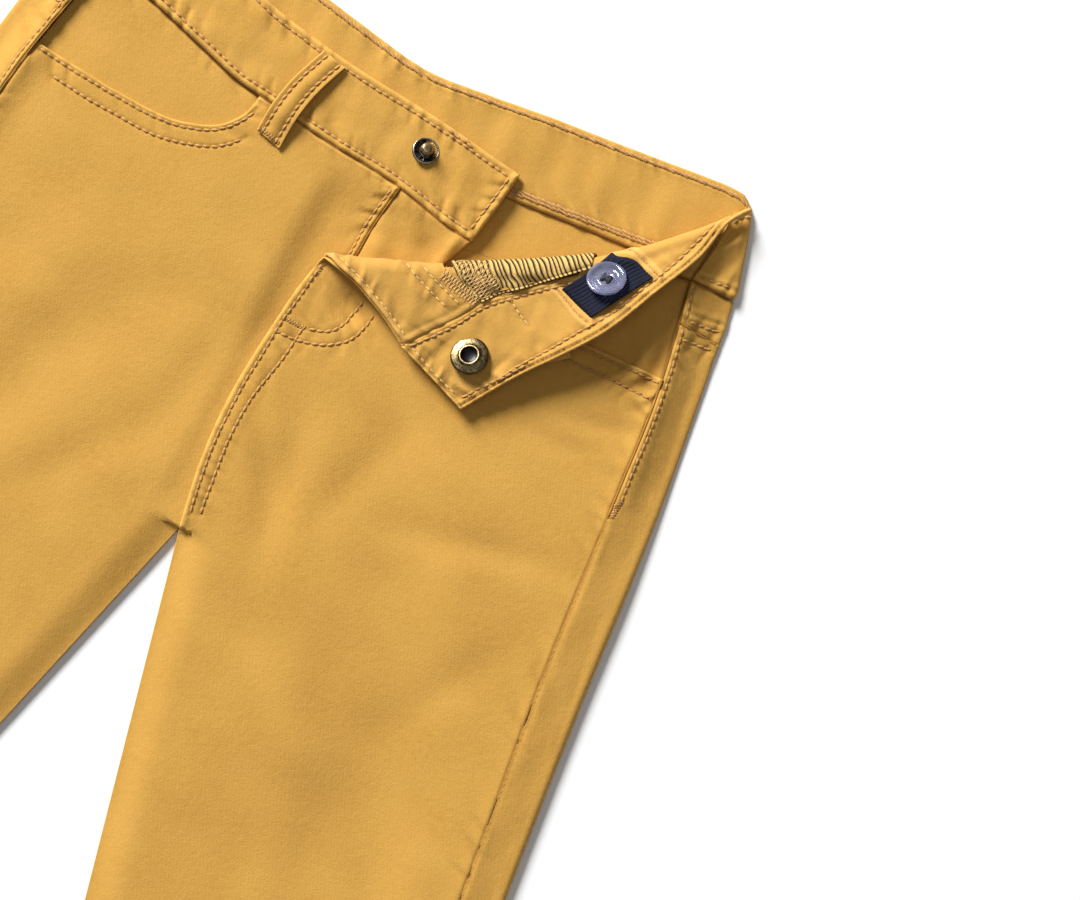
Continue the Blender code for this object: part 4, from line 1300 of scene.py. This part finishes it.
BAND_TOP_ROW = (
    (72.2, 119), (76, 113), (80, 107.4), (85.2, 98.6), (92.6, 86.9), (99, 76.6), (105, 67),
    (109.8, 58), (113.4, 49.4), (117.6, 39.5), (121.4, 29), (126, 14),
)
BAND_SEAM_ROW = (
    (45.4, 111), (52.5, 101.5), (57.4, 94.6), (64.9, 82.4), (73.5, 74), (79.8, 68), (91, 57.6),
)
BAND_CROSS_ROW = ((69.9, 76.3), (75.5, 79.5), (82.1, 82.2))
SLOTS = (
    ((84, 64.6), (89.5, 66.7), (96, 69.4), (101.5, 70.6)),
    ((96.5, 41.2), (102.8, 38.4), (109.5, 39.6), (116.4, 41.9)),
)
LEFT_DENTS = (  # x, v, heading in degrees, half length, half width, height
    (17.5, 105.5, 114, 8.5, 9, -3.3),
    (8, 110, 80, 7, 2.6, 0.7),
    (12, 104.5, 60, 6, 1.8, 0.5),
    (14, 116, 20, 9, 2.4, 0.35),
    (24, 112, 118, 9, 3, 0.5),
    (40, 119, 35, 18, 6, -1),
    (127, 60, 96, 14, 3.4, -1.8),
    (120, 57, 80, 13, 3.4, 1.2),
    (112, 62, 62, 12, 3.2, -1.3),
    (132, 69, 25, 7, 2.2, 1.1),
    (124, 73, -12, 8, 2, -0.9),
    (120, 92, -14, 20, 4, -0.9),
    (126, 104, -20, 12, 3.5, 0.6),
    (104, 68, 10, 14, 3.5, -0.7),
)
CORNER_DENTS = (  # x, v, heading in degrees, half length, half width, height; positive is up
    (26, 96, 20, 12, 3.5, 0.7),
    (33, 99, 50, 10, 3, -0.8),
    (40, 97, 70, 8, 2.6, 0.7),
    (45, 91, 20, 10, 2.4, -0.7),
    (38, 90, 10, 12, 2.4, 0.5),
)
BAND_DENTS = (  # x, v, heading in degrees, half length, half width, height; positive is up
    (56.5, 107, 105, 7, 1.8, -0.8),
    (61, 114, 85, 6, 2, 0.5),
    (75.5, 94.5, 60, 7, 1.8, -0.8),
    (79.5, 99.5, 110, 7, 1.6, -0.7),
    (70, 109, 30, 8, 3, 1),
    (66, 89, 75, 7, 2.4, -0.5),
    (72, 85, 70, 7, 2.2, 0.5),
    (87, 85, 60, 8, 2, -0.6),
    (90, 75, 30, 9, 2.2, -0.6),
    (84, 76, 80, 8, 2.4, 0.5),
    (106, 58, 110, 8, 2, -0.5),
    (116, 34, 115, 12, 2.6, 0.6),
    (113, 30, 110, 12, 2.6, -0.5),
)


def laid_line(points, step=1):
    """A smooth line in the pattern, through places on the left front's lower part."""
    return on(lay, smooth(points, step))


def turned_line(points, step=1):
    """A smooth line in the pattern, through places on the turned-out corner."""
    return on(turned, smooth(points, step))


def left_relief(a, s):
    """The left front: a raised lap at the centre, a dented hollow in the fly, and its side seam."""
    x, v = opened(a, s)
    lap = 0.5 * (1 - ramp(x, 0, 6)) * ramp(v, 100, 110)
    lower = lap + ridges(LEFT_DENTS, x, v) + seam_rise(side_seam(v) - x, v)
    return lower * ramp(-s, 1, 7) - 0.6 * ridges(CORNER_DENTS, *seen_turned(a, s)) * ramp(s, 0, 6)


def seen_turned(a, s):
    """The place, seen from above, of a pattern point of the turned-out corner."""
    return opened(a, -s - through(TURN, a, 1))


def make_front_left():
    centre = laid_line(CENTRE, 1.2)
    free = turned_line(FLY_FREE, 1.2)
    seam = turned_line(BAND_SEAM[:4] + ((66, 75),), 1.2)
    scoop = laid_line(SCOOP, 1.2)
    upper_side = on(lay, down(76, 131, side_seam, SEAM_OVERLAP))
    lower_side = on(lay, down(132, SEAM_END_V, side_seam, SEAM_OVERLAP))
    hem_run = on(lay, level(side_seam(SEAM_END_V), HEM_INNER[0], hem))
    inner = on(lay, down(HEM_INNER[1], CROTCH_V, inseam))
    outline = joined(centre, free, seam, scoop, upper_side, lower_side, hem_run, inner)
    hem_row = on(lay, level(HEM_INNER[0] + 1, side_seam(LOW_SEAM_V) - 1, hem, -HEM_DEPTH))
    pocket_1 = laid_line([(x, v + 2) for x, v in SCOOP[1:]], 1.2)
    pocket_2 = laid_line([(x - 1.5, v + 8.6) for x, v in SCOOP[2:-1]] + [(137.6, 84.6)], 1.2)
    shown_rows = [laid_line(row) for row in (CENTRE_ROW, CENTRE_ROW_2, J_INNER, J_OUTER)]
    rows = stitched("topstitch", 1, *shown_rows, pocket_1, pocket_2)
    rows += stitched("plain_stitch", 1, hem_row)
    rows += stitched("bartack", 1, laid_line(J_TACK), laid_line(FLY_TACK))
    puckers = [
        (rows[0][0], 6, 8, 0.35), (rows[3][0], 8, 8, 0.34), (pocket_1, 7, 9, 0.34),
        (pocket_2, 6, 8, 0.4), (upper_side, 8, 11, 0.4), (lower_side, 7, 15, 0.24),
        (hem_row, 8, 10, 0.3), (rows[1][0], 7, 9, 0.3),
    ]
    lips = [(centre, 1, 2.6, 0.35), (scoop, 1, 1.9, 0.25)]
    cloth(
        "front_left", outline, lie_left, 0, -SHELL, TWILL, relief=left_relief,
        free=[free, hem_run, scoop, centre], seams=[upper_side, seam], rows=rows, puckers=puckers,
        grooves=[(lower_side, 1, 0.6, 0.5)],
        lips=lips, detail=TURN_LINES, grain=opened,
    )


def make_waistband_left():
    edge = turned_line(BAND_EDGE)
    tip = turned_line(BAND_TIP)
    seam = turned_line(BAND_SEAM)
    folded = laid_line(BAND_FOLDED)
    side = laid_line([(128.1, 36.9), (129.4, 22), (130.2, 8)])
    outline = joined(edge, tip, seam, folded, side)
    rows = [
        (turned_line(BAND_END_ROW), "fine_stitch", -1),
        (turned_line(BAND_TOP_ROW), "topstitch", -1),
        (turned_line(BAND_SEAM_ROW), "topstitch", -1),
        (turned_line(BAND_CROSS_ROW), "fine_stitch", -1),
        (turned_line([(63.6, 79), (71, 73.6)]), "chain", -1),
        (turned_line([(81.5, 106.5), (88, 95.5)]), "topstitch", -1),
        (laid_line([(106, 39), (127.5, 33.6)]), "topstitch", 1),
    ]
    rows += stitched("slot_stitch", -1, *[turned_line(slot) for slot in SLOTS])
    puckers = [
        (rows[1][0], 6, 7.5, 0.45), (rows[2][0], 7, 8, 0.25), (rows[0][0], 4, 6, 0.34),
    ]
    outer_edge = on(turned, beside(smooth(BAND_EDGE), -1.5))
    end_edge = on(turned, beside(smooth(BAND_TIP), -1))
    grooves = [(outer_edge, -1, 0.4, 0.9), (end_edge, -1, 0.4, 0.8), (seam, -1, 0.6, 0.3)]
    lips = [(outer_edge, -1, 2.4, 0.3), (end_edge, -1, 2, 0.25), (seam, -1, 2.3, 0.35)]
    lips += [(turned_line(slot), -1, 2.2, 0.8) for slot in SLOTS]
    cloth(
        "waistband_left", outline, lie_left, BAND_OUT, BAND_IN, TWILL_INSIDE,
        relief=turned_band_relief, free=[edge, tip], seams=[folded, side], rows=rows,
        puckers=puckers, grooves=grooves, lips=lips, detail=TURN_LINES, fine=0.65, coarse=1.95, grain=opened,
    )


def turned_band_relief(a, s):
    """The turned waistband is stiff, with dents between its rows and round the snap."""
    x, v = seen_turned(a, s)
    return -(ridges(BAND_DENTS, x, v) + 0.3 * uneven(x, v, 0.3)) * ramp(s, 3, 9)


def make_fly_facing():
    free_run = beside(smooth(FLY_FREE[1:-1] + ((42.3, 111.6),), 1), 0.8)
    seam_run = smooth([(42.9, 112), (50.8, 100.9), (55.7, 94.2), (62.8, 81.6)], 1)
    serged = smooth([(61.6, 81.6), (50.5, 80.2), (43, 78.6)], 1)
    hidden = smooth([(43.9, 83.2), (36, 100), (24, 114), (6, 124), (0.6, 121), (0, 103)])
    free, seam = on(turned, free_run), on(turned, seam_run)
    overlocked = on(turned, serged)
    outline = joined(free, seam, overlocked, on(lay, hidden))
    n = -CLOTH - LAYER
    rows = stitched(
        "fine_stitch", -1, on(turned, beside(free_run, 2.2)[3:-2]),
        turned_line([(29.3, 84.2), (41, 88), (52.4, 91.4)]),
        turned_line([(36.1, 82.4), (45.5, 84.9), (54.9, 87.6)]),
    )
    rows += stitched("overlock", -1, turned_line([(43.5, 80), (50.5, 81.8), (60, 83.4)]))
    puckers = [(rows[0][0], 5, 6.5, 0.42), (seam, 8, 8, 0.22), (rows[1][0], 4, 8, 0.35)]
    lips = [(free, -1, 2.2, 0.35), (seam, -1, 3, 0.45)]
    near_seam = Lines([seam])

    def relief(a, s):
        x, v = seen_turned(a, s)
        to_seam = near_seam.near(np.column_stack([a, s]))[0]
        tucked = 1.5 - ramp(to_seam, 0, 5.5) - 0.5 * ramp(to_seam, 0.2, 0.9)
        hollow = 0.7 * ridges(LEFT_DENTS, *opened(a, s)) * ramp(-s, 1, 7)
        return tucked + hollow - ridges(CORNER_DENTS, x, v) * ramp(s, 0, 6) + 0.3 * uneven(x, v, 0.3)

    cloth(
        "fly_facing", outline, lie_left, n + 0.1, n - CLOTH, TWILL_INSIDE,
        relief=relief, free=[free, overlocked], rows=rows, puckers=puckers, lips=lips, detail=TURN_LINES,
        fine=0.7, coarse=2.1, grain=opened,
    )


def make_pocket_facing_left():
    n = -CLOTH - LAYER
    seam = turned_line([(66, 75.8), (71, 71.4), (77.3, 65.3), (88.4, 55.2)])
    folded = laid_line([(94.5, 49.6), (100, 45.6), (112, 40.3), (128.1, 37.1)])
    side = on(lay, down(38, 89, side_seam))
    hidden = laid_line([(120, 91), (88, 91), (70, 85), (63, 79)])
    outline = joined(seam, folded, side, hidden, on(turned, [(56.5, 70.5)]))

    def relief(a, s):
        x, v = opened(a, s)
        low = ridges(LEFT_DENTS, x, v) + 0.3 * uneven(x, v, 0.4) + seam_rise(side_seam(v) - x, v)
        return low * ramp(-s, 0, 6)

    cloth(
        "pocket_facing_left", outline, lie_left, n, n - SHELL, TWILL,
        relief=relief, seams=[folded, side], puckers=[(folded, 7, 9, 0.3)], coarse=2.6,
        grain=opened,
    )


def bag_relief(a, s):
    """The striped bag is drawn into small waves across its stripes, and tucked under the band."""
    x, v = seen_turned(a, s)
    waves = 0.4 * np.sin(x * 0.5 + 0.9 * np.sin(v * 0.4)) + 0.3 * np.sin(v * 0.9 + 0.3 * x)
    end = np.exp(-(((x - 94) / 5) ** 2) - ((v - 51) / 6) ** 2)
    return waves * ramp(s, 0, 5) * (1 - end) + 1.2 * ramp(s, 4, 12) + 1.6 * end * ramp(s, -1, 2)


def make_pocket_bag_left():
    n = -2 * (CLOTH + LAYER)
    seam = turned_line([(61.8, 82.8), (67, 76), (71.8, 72), (78, 65.8), (92.4, 51.6)])
    folded = on(lay, [(96, 49), (97, 52), (112, 62), (118, 92), (108, 114)])
    hidden = on(lay, [(88, 118), (66, 116), (54, 108), (51, 86)])
    outline = joined(seam, folded, hidden, turned_line([(46, 77), (53, 80.2), (60, 82.4)]))
    rows = stitched(
        "overlock", -1, turned_line([(47, 74.2), (56, 77.4), (63, 80)]),
        turned_line([(54.6, 72.4), (60, 74.6), (65.4, 76.6)]),
    )
    cloth(
        "pocket_bag_left", outline, lie_left, n, n - 0.55, STRIPED,
        relief=bag_relief, seams=[seam], rows=rows,
        puckers=[(seam, 5, 5, 0.2)], fine=0.8, coarse=0.8, grain=opened,
    )


# ---- Loops and elastic ----

TAPE = 1.2  # the thickness of the elastic and the loops
TAPE_END = ((101.1, 68.6), (86.1, 64.1))
TAPE_START = ((97.7, 42.8), (103.3, 40.4), (115, 43.2))
TAPE_AXIS = np.array((0.4594, -0.8882))
TAPE_MIDDLE = np.array((100.2, 54.2))
TAPE_TUCK = 2.6  # how far its ends run on into the slots
TAPE_WIDTH = 15.6
RIBS = 11
LOOP_WIDTH = 11
LOOP_TOP = np.array((-32.6, 27.4))
LOOP_END = np.array((-40.6, 66.6))
LOOP_STAND = 1.6  # how far its middle stands off the waistband


def lie_loop(x, v, n):
    """A belt loop lies over the right waistband and comes down on the front below it."""
    share = (v - LOOP_TOP[1]) / (LOOP_END[1] - LOOP_TOP[1])
    band = BAND_OUT * (1 - ramp(share, 0.72, 0.92))
    stand = LOOP_STAND * np.sin(pi * np.clip(share, 0, 1)) ** 0.7
    bent = x - 2.2 * np.sin(pi * np.clip(share, 0, 1))
    return bent, v, right_top(bent, v) + band + 0.3 + stand + n


def around(corners, step):
    """The outline with straight sides between corners."""
    sides = zip(corners, corners[1:] + corners[:1])
    return joined(*[smooth([a, b], step)[:-1] for a, b in sides])


def strip_lines(start, end, width, inset):
    """The outline of a straight strip, and two lines inside its long edges."""
    start, end = np.array(start), np.array(end)
    run = (end - start) / np.hypot(*(end - start))
    side = np.array((-run[1], run[0]))
    half = side * width / 2
    corners = [start + half, end + half, end - half, start - half]
    shifts = [k * side * (width / 2 - inset) for k in (1, -1)]
    inner = [smooth([start + shift, end + shift]) for shift in shifts]
    return around(corners, 0.8), inner, corners


def make_belt_loop_right():
    outline, inner, corners = strip_lines(LOOP_TOP, LOOP_END, LOOP_WIDTH, 2.4)
    first, last = corners[1], corners[2]
    tack = smooth([first * 0.93 + last * 0.07 - (0, 1.6), last * 0.93 + first * 0.07 - (0, 1.6)])
    rows = stitched("topstitch", 1, *inner) + stitched("bartack", 1, tack)

    def relief(x, v):
        across = (x - LOOP_TOP[0]) * 0.98 + (v - LOOP_TOP[1]) * 0.2
        return 0.25 * np.cos(across * 0.9) + 0.12 * np.sin(v * 0.5)

    cloth(
        "belt_loop_right", outline, lie_loop, TAPE, 0, TWILL, relief=relief,
        free=[closed(outline)], rows=rows, fine=0.8, coarse=0.8,
    )


def make_belt_loop_left():
    n = BAND_OUT + LAYER
    outline, inner, _ = strip_lines((97.4, 88.9), (75, 62), LOOP_WIDTH, 2.4)
    outline = on(turned, outline)
    rows = stitched("topstitch", 1, *[on(turned, line) for line in inner])
    cloth(
        "belt_loop_left", outline, lie_left, n + TAPE, n, TWILL,
        free=[closed(outline)], rows=rows, fine=0.9, coarse=1.8, grain=opened,
    )


def make_elastic():
    """The ribbed tape. Its ends dive into the waistband's slots."""
    n = BAND_IN - LAYER
    low = [tuple(np.array(p) - TAPE_TUCK * TAPE_AXIS) for p in TAPE_END]
    high = [tuple(np.array(p) + TAPE_TUCK * TAPE_AXIS) for p in TAPE_START]
    outline = on(turned, around(low + high, 0.6))
    ends = Lines([turned_line(low, 0.5), turned_line(high, 0.5)])

    def relief(a, s):
        x, v = seen_turned(a, s)
        off_x, off_v = x - TAPE_MIDDLE[0], v - TAPE_MIDDLE[1]
        along = off_x * TAPE_AXIS[0] + off_v * TAPE_AXIS[1]
        across = off_v * TAPE_AXIS[0] - off_x * TAPE_AXIS[1]
        wave = 0.5 * np.sin(along * 0.5 + 0.12 * across)
        rib = 0.3 * np.abs(np.sin(pi * (across + 0.7 * np.sin(along * 0.22)) / TAPE_WIDTH * RIBS))
        to_end = ends.near(np.column_stack([a, s]))[0]
        shown = ramp(to_end, 1.6, 3.8)
        return (wave - rib) * shown + 2.6 * (1 - shown)

    cloth(
        "waist_elastic", outline, lie_left, n, n - TAPE, ELASTIC_CLOTH, kind="tape",
        relief=relief, free=[closed(outline)], fine=0.35,
        coarse=0.35, grain=opened,
    )


# ---- Button and snap ----

PICTURE_UP = Vector((-0.4756, -0.8796, 0))  # towards the top of the picture, with v down
TRIM_LEAN = 0.36  # how far the button and the socket lean that way
TRIM_RISE = 0.9
SOCKET_AT = (67.5, 103.2)
BUTTON_AT = (99.9, 53.3)
STUD_AT = (14.8, 41.9)
SNAP = 15
BUTTON = 15.5
BUTTON_HOLE = 1.7
BUTTON_HOLE_OUT = 1.3  # from the middle, both along and across the button
STRANDS_AT = (-1.5, -1.15, 1.15, 1.5)  # the straight strands of its thread, before the crossed ones
FLUTES = 36
FLUTE_HEIGHT = 0.32
FLUTED = (2.7, 4.8)  # the radii between which the stud's base is fluted
BRASS_LIGHT = antique_brass("antique_brass", (0.05, 0.036, 0.018), (0.18, 0.135, 0.068), 0.27)
BRASS_DARK = antique_brass("antique_brass_dark", (0.03, 0.026, 0.024), (0.22, 0.2, 0.18), 0.3)
BRASS_RIM = antique_brass("antique_brass_rim", (0.3, 0.27, 0.21), (0.6, 0.55, 0.46), 0.3)
BRASS_WARM = antique_brass("antique_brass_warm", (0.22, 0.15, 0.065), (0.5, 0.37, 0.19), 0.34)


def seat_on(x, v, n):
    """The place and the tilt of the turned waistband's inside face, seen from above."""

    def spot(dx, dv):
        a, s = turned(x + dx, v + dv)
        return Vector([float(c) for c in lie_left(a, s, n)])

    here = spot(0, 0)
    east, south = spot(2, 0) - here, spot(0, 2) - here
    up = east.cross(south).normalized()
    if up.z < 0:
        up = -up
    lean = PICTURE_UP * TRIM_LEAN
    return here + Vector((0, 0, TRIM_RISE)), (up + lean).normalized()


def placed(here, up):
    """The matrix that puts a piece, made in millimetres about Z, on a spot of the trousers."""
    place = Vector((here.x, MIDDLE_V - here.y, here.z)) * MM
    lean = Vector((up.x, -up.y, up.z))
    tilt = Vector((0, 0, 1)).rotation_difference(lean).to_matrix().to_4x4()
    return Matrix.Translation(place) @ tilt @ Matrix.Scale(MM, 4)


def rounded_profile(profile, steps=4):
    """The profile with its corners rounded by repeated cutting."""
    points = np.array(profile, float)
    for _ in range(steps):
        low = points[:-1] * 0.75 + points[1:] * 0.25
        high = points[:-1] * 0.25 + points[1:] * 0.75
        middle = np.empty((2 * len(low), 2))
        middle[0::2], middle[1::2] = low, high
        points = np.vstack([points[:1], middle, points[-1:]])
    return points


def spun(name, profile, here, up, made_of, segments=96, flutes=None):
    """A turned piece from a profile of (radius, height), solid from its axis or a closed ring."""
    wrapped = np.allclose(profile[0], profile[-1])
    if wrapped:
        profile = profile[:-1]
    points = []
    for radius, height in profile:
        for i in range(segments):
            angle = 2 * pi * i / segments
            raised = flutes(radius, height, angle) if flutes else 0
            r = max(radius, 1e-3)
            points.append((r * np.cos(angle), r * np.sin(angle), height + raised))
    piece = new_mesh(name, points, tube_faces(len(profile), segments, wrapped=wrapped), made_of)
    piece.data.transform(placed(here, up))
    piece.data.set_sharp_from_angle(angle=pi / 3)
    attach(piece, "root")
    return piece


def make_socket():
    here, up = seat_on(*SOCKET_AT, BAND_IN)
    r = SNAP / 2
    ring = (
        (3.1, -0.8), (r - 0.3, -0.8), (r, 0.2), (r, 0.95), (r - 0.25, 1.35), (r - 0.9, 1.55),
        (4.5, 1.8), (4.15, 2.1), (3.55, 2.15), (3.2, 1.85), (3.1, 1), (3.1, -0.8),
    )
    ring = rounded_profile(ring, 3)
    piece = spun("snap_socket_ring", ring, here, up, BRASS_LIGHT)
    lip = rounded_profile(((3.25, 1.7), (3.2, 2.1), (3.45, 2.35), (3.95, 2.3), (4.15, 1.95), (3.25, 1.7)), 3)
    spun("snap_socket_lip", lip, here, up, BRASS_WARM)
    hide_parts("snap_socket")
    # The well is a near-black disc inside the ring: painted shade for the socket's deep hole.
    well = ((0, 0.3), (3.3, 0.3), (3.3, 1), (2.6, 0.8), (1.7, 0.62), (0, 0.55))
    dark, _ = material("socket_hole_painted_shade", (0.003, 0.002, 0.002), 0.25, Specular_IOR_Level=0.15)
    spun("snap_socket_hole_shade", rounded_profile(well, 2), here, up, dark)


def make_stud():
    x, v = STUD_AT
    here = Vector((x, v, float(right_top(x, v)) + BAND_OUT - 0.1))

    def flutes(radius, height, angle):
        return FLUTE_HEIGHT * np.cos(FLUTES * angle) * (FLUTED[0] < radius < FLUTED[1]) * (height > 0.5)

    base = (
        (0, 0.1), (5.1, 0.1), (5.35, 0.4), (5.3, 0.95), (4.95, 1.3), (4.6, 1.15), (4.4, 0.75),
        (3.6, 0.7), (2.9, 0.75), (2.3, 0.8), (1.9, 0.9), (1.75, 1.4), (0, 1.5),
    )
    up = Vector((0.12, -0.27, 1)).normalized()
    piece = spun("snap_stud_base", rounded_profile(base, 3), here, up, BRASS_DARK, 240, flutes)
    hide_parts("snap_stud")
    rim = ((4.35, 0.85), (5.1, 1.1), (5.25, 1.35), (4.95, 1.55), (4.55, 1.4), (4.35, 0.85))
    spun("snap_stud_rim", rounded_profile(rim, 3), here, up, BRASS_RIM)
    ball = (
        (0, 1.2), (1.6, 1.3), (1.6, 2.4), (2.3, 3.1), (2.55, 3.9), (2.1, 4.7), (1.2, 5.05), (0, 5.1),
    )
    spun("snap_stud_ball", rounded_profile(ball, 3), here, up, BRASS_WARM)


def make_button():
    """A four-hole button of clear resin, sewn on with dark thread."""
    here, up = seat_on(*BUTTON_AT, BAND_IN - LAYER - TAPE)
    r = BUTTON / 2
    profile = (
        (0, 0.7), (r - 1.3, 0.7), (r - 0.2, 1.3), (r, 2.1), (r - 0.2, 2.75), (r - 0.9, 2.95),
        (r - 1.6, 2.8), (r - 2.6, 2.1), (r - 3.4, 1.9), (3.3, 1.95), (2.9, 2.15), (2.5, 1.85), (0, 1.8),
    )
    button = spun("button", rounded_profile(profile, 3), here, up, clear_resin(), 72)
    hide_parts("waist_button")
    cutters = []
    for dx, dy in ((1, 1), (1, -1), (-1, 1), (-1, -1)):
        bpy.ops.mesh.primitive_cylinder_add(radius=BUTTON_HOLE / 2, depth=5, vertices=24)
        cutter = bpy.context.object
        at = Matrix.Translation((BUTTON_HOLE_OUT * dx, BUTTON_HOLE_OUT * dy, 1.6))
        cutter.data.transform(placed(here, up) @ at)
        cutters.append(cutter)
    for cutter in cutters:
        cut = button.modifiers.new("hole", "BOOLEAN")
        cut.operation = "DIFFERENCE"
        cut.object = cutter
    graph = bpy.context.evaluated_depsgraph_get()
    holed = bpy.data.meshes.new_from_object(button.evaluated_get(graph))
    button.modifiers.clear()
    button.data = holed
    for cutter in cutters:
        bpy.data.objects.remove(cutter)
    t = np.linspace(0, 1, 13)
    arch = np.clip(np.sin(pi * t) * 2.4, 0, 1)
    strands = [np.column_stack([x + 0 * t, 1.5 - 3 * t, 1.2 + 1.35 * arch]) for x in STRANDS_AT]
    strands += [np.column_stack([x * (1 - 2 * t), 1.3 - 2.6 * t, 1.4 + 1.5 * arch]) for x in (-1.4, 1.4)]
    thread = strand_mesh("button_thread", strands, 0.42, thread_material("dark_thread", (0.02, 0.02, 0.03)))
    thread.data.transform(placed(here, up))
    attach(thread, "root")


def strand_mesh(name, strands, radius, made_of, sides=10):
    """Round strands along their paths."""
    points, faces = [], []
    angle = 2 * pi * np.arange(sides) / sides
    for path in strands:
        ahead = unit(np.gradient(path, axis=0))
        side = unit(np.cross(ahead, (0.1, 0.05, 1)))
        up = np.cross(side, ahead)
        faces += tube_faces(len(path), sides, len(points))
        for here, across, over_it in zip(path, side, up):
            points += [tuple(here + radius * (np.cos(k) * across + np.sin(k) * over_it)) for k in angle]
    return new_mesh(name, points, faces, made_of)


# ---- Floor, light and camera ----

CAMERA_X = 108.1
CAMERA_V = 121.9
FRAME_WIDTH = 415.4  # the width of the photograph at the trousers
FRAME_TURN = 28.4  # degrees
LENS = 100
SENSOR = 36
FLOOR_REACH = 40  # metres
FLOOR_Z = -1e-4  # metres
AMBIENT = 0.135
KEY_AT = (2.4, 4.36, 2.95)  # metres to the picture's left, toward its top, and above it
KEY_SIZE = 2.3
KEY_POWER = 640
TOP_LIGHT_AT = (0, 0, 2.6)
TOP_LIGHT_SIZE = 1.8
TOP_POWER = 8


def make_floor():
    mesh = bpy.data.meshes.new("floor")
    signs = ((-1, -1), (1, -1), (1, 1), (-1, 1))
    corners = [(x * FLOOR_REACH, y * FLOOR_REACH, FLOOR_Z) for x, y in signs]
    mesh.from_pydata(corners, [], [(0, 1, 2, 3)])
    floor = bpy.data.objects.new("floor", mesh)
    bpy.context.scene.collection.objects.link(floor)
    made, _ = material("pale_floor", (0.93, 0.93, 0.93), 0.9)
    mesh.materials.append(made)


def aim(thing, target):
    direction = Vector(target) - thing.location
    thing.rotation_euler = direction.to_track_quat("-Z", "Y").to_euler()


def add_light(name, at, size, power, target):
    data = bpy.data.lights.new(name, "AREA")
    data.shape = "DISK"
    data.size = size
    data.energy = power
    light = bpy.data.objects.new(name, data)
    light.location = at
    bpy.context.scene.collection.objects.link(light)
    aim(light, target)


def make_lights_and_camera():
    world = bpy.data.worlds.new("studio")
    world.use_nodes = True
    world.node_tree.nodes["Background"].inputs["Color"].default_value = (1, 1, 1, 1)
    world.node_tree.nodes["Background"].inputs["Strength"].default_value = AMBIENT
    bpy.context.scene.world = world
    middle = Vector((CAMERA_X, MIDDLE_V - CAMERA_V, 0)) * MM
    turn = np.radians(FRAME_TURN)
    left = Vector((-np.cos(turn), -np.sin(turn), 0))
    upwards = Vector((-np.sin(turn), np.cos(turn), 0))
    key_at = middle + left * KEY_AT[0] + upwards * KEY_AT[1] + Vector((0, 0, KEY_AT[2]))
    add_light("key", key_at, KEY_SIZE, KEY_POWER, middle)
    add_light("top", middle + Vector(TOP_LIGHT_AT), TOP_LIGHT_SIZE, TOP_POWER, middle)
    data = bpy.data.cameras.new("camera")
    data.lens = LENS
    data.sensor_width = SENSOR
    camera = bpy.data.objects.new("camera", data)
    distance = FRAME_WIDTH * LENS / SENSOR + TOP
    camera.location = middle + Vector((0, 0, distance * MM))
    camera.rotation_euler = (0, 0, turn)
    bpy.context.scene.collection.objects.link(camera)
    bpy.context.scene.camera = camera
    bpy.context.scene.view_settings.view_transform = "Standard"
    bpy.context.scene.view_settings.look = "None"


for side_sign, side_name in ((1, "left"), (-1, "right")):
    make_back_panel(side_sign, f"back_{side_name}")
    make_yoke(side_sign, f"yoke_{side_name}")
make_back_waistband()
make_front_right()
make_pocket_facing_right()
make_waistband_right()
make_fly_shield()
make_front_left()
make_waistband_left()
make_fly_facing()
make_pocket_facing_left()
make_pocket_bag_left()
make_belt_loop_right()
make_belt_loop_left()
make_elastic()
make_socket()
make_stud()
make_button()
make_floor()
make_lights_and_camera()
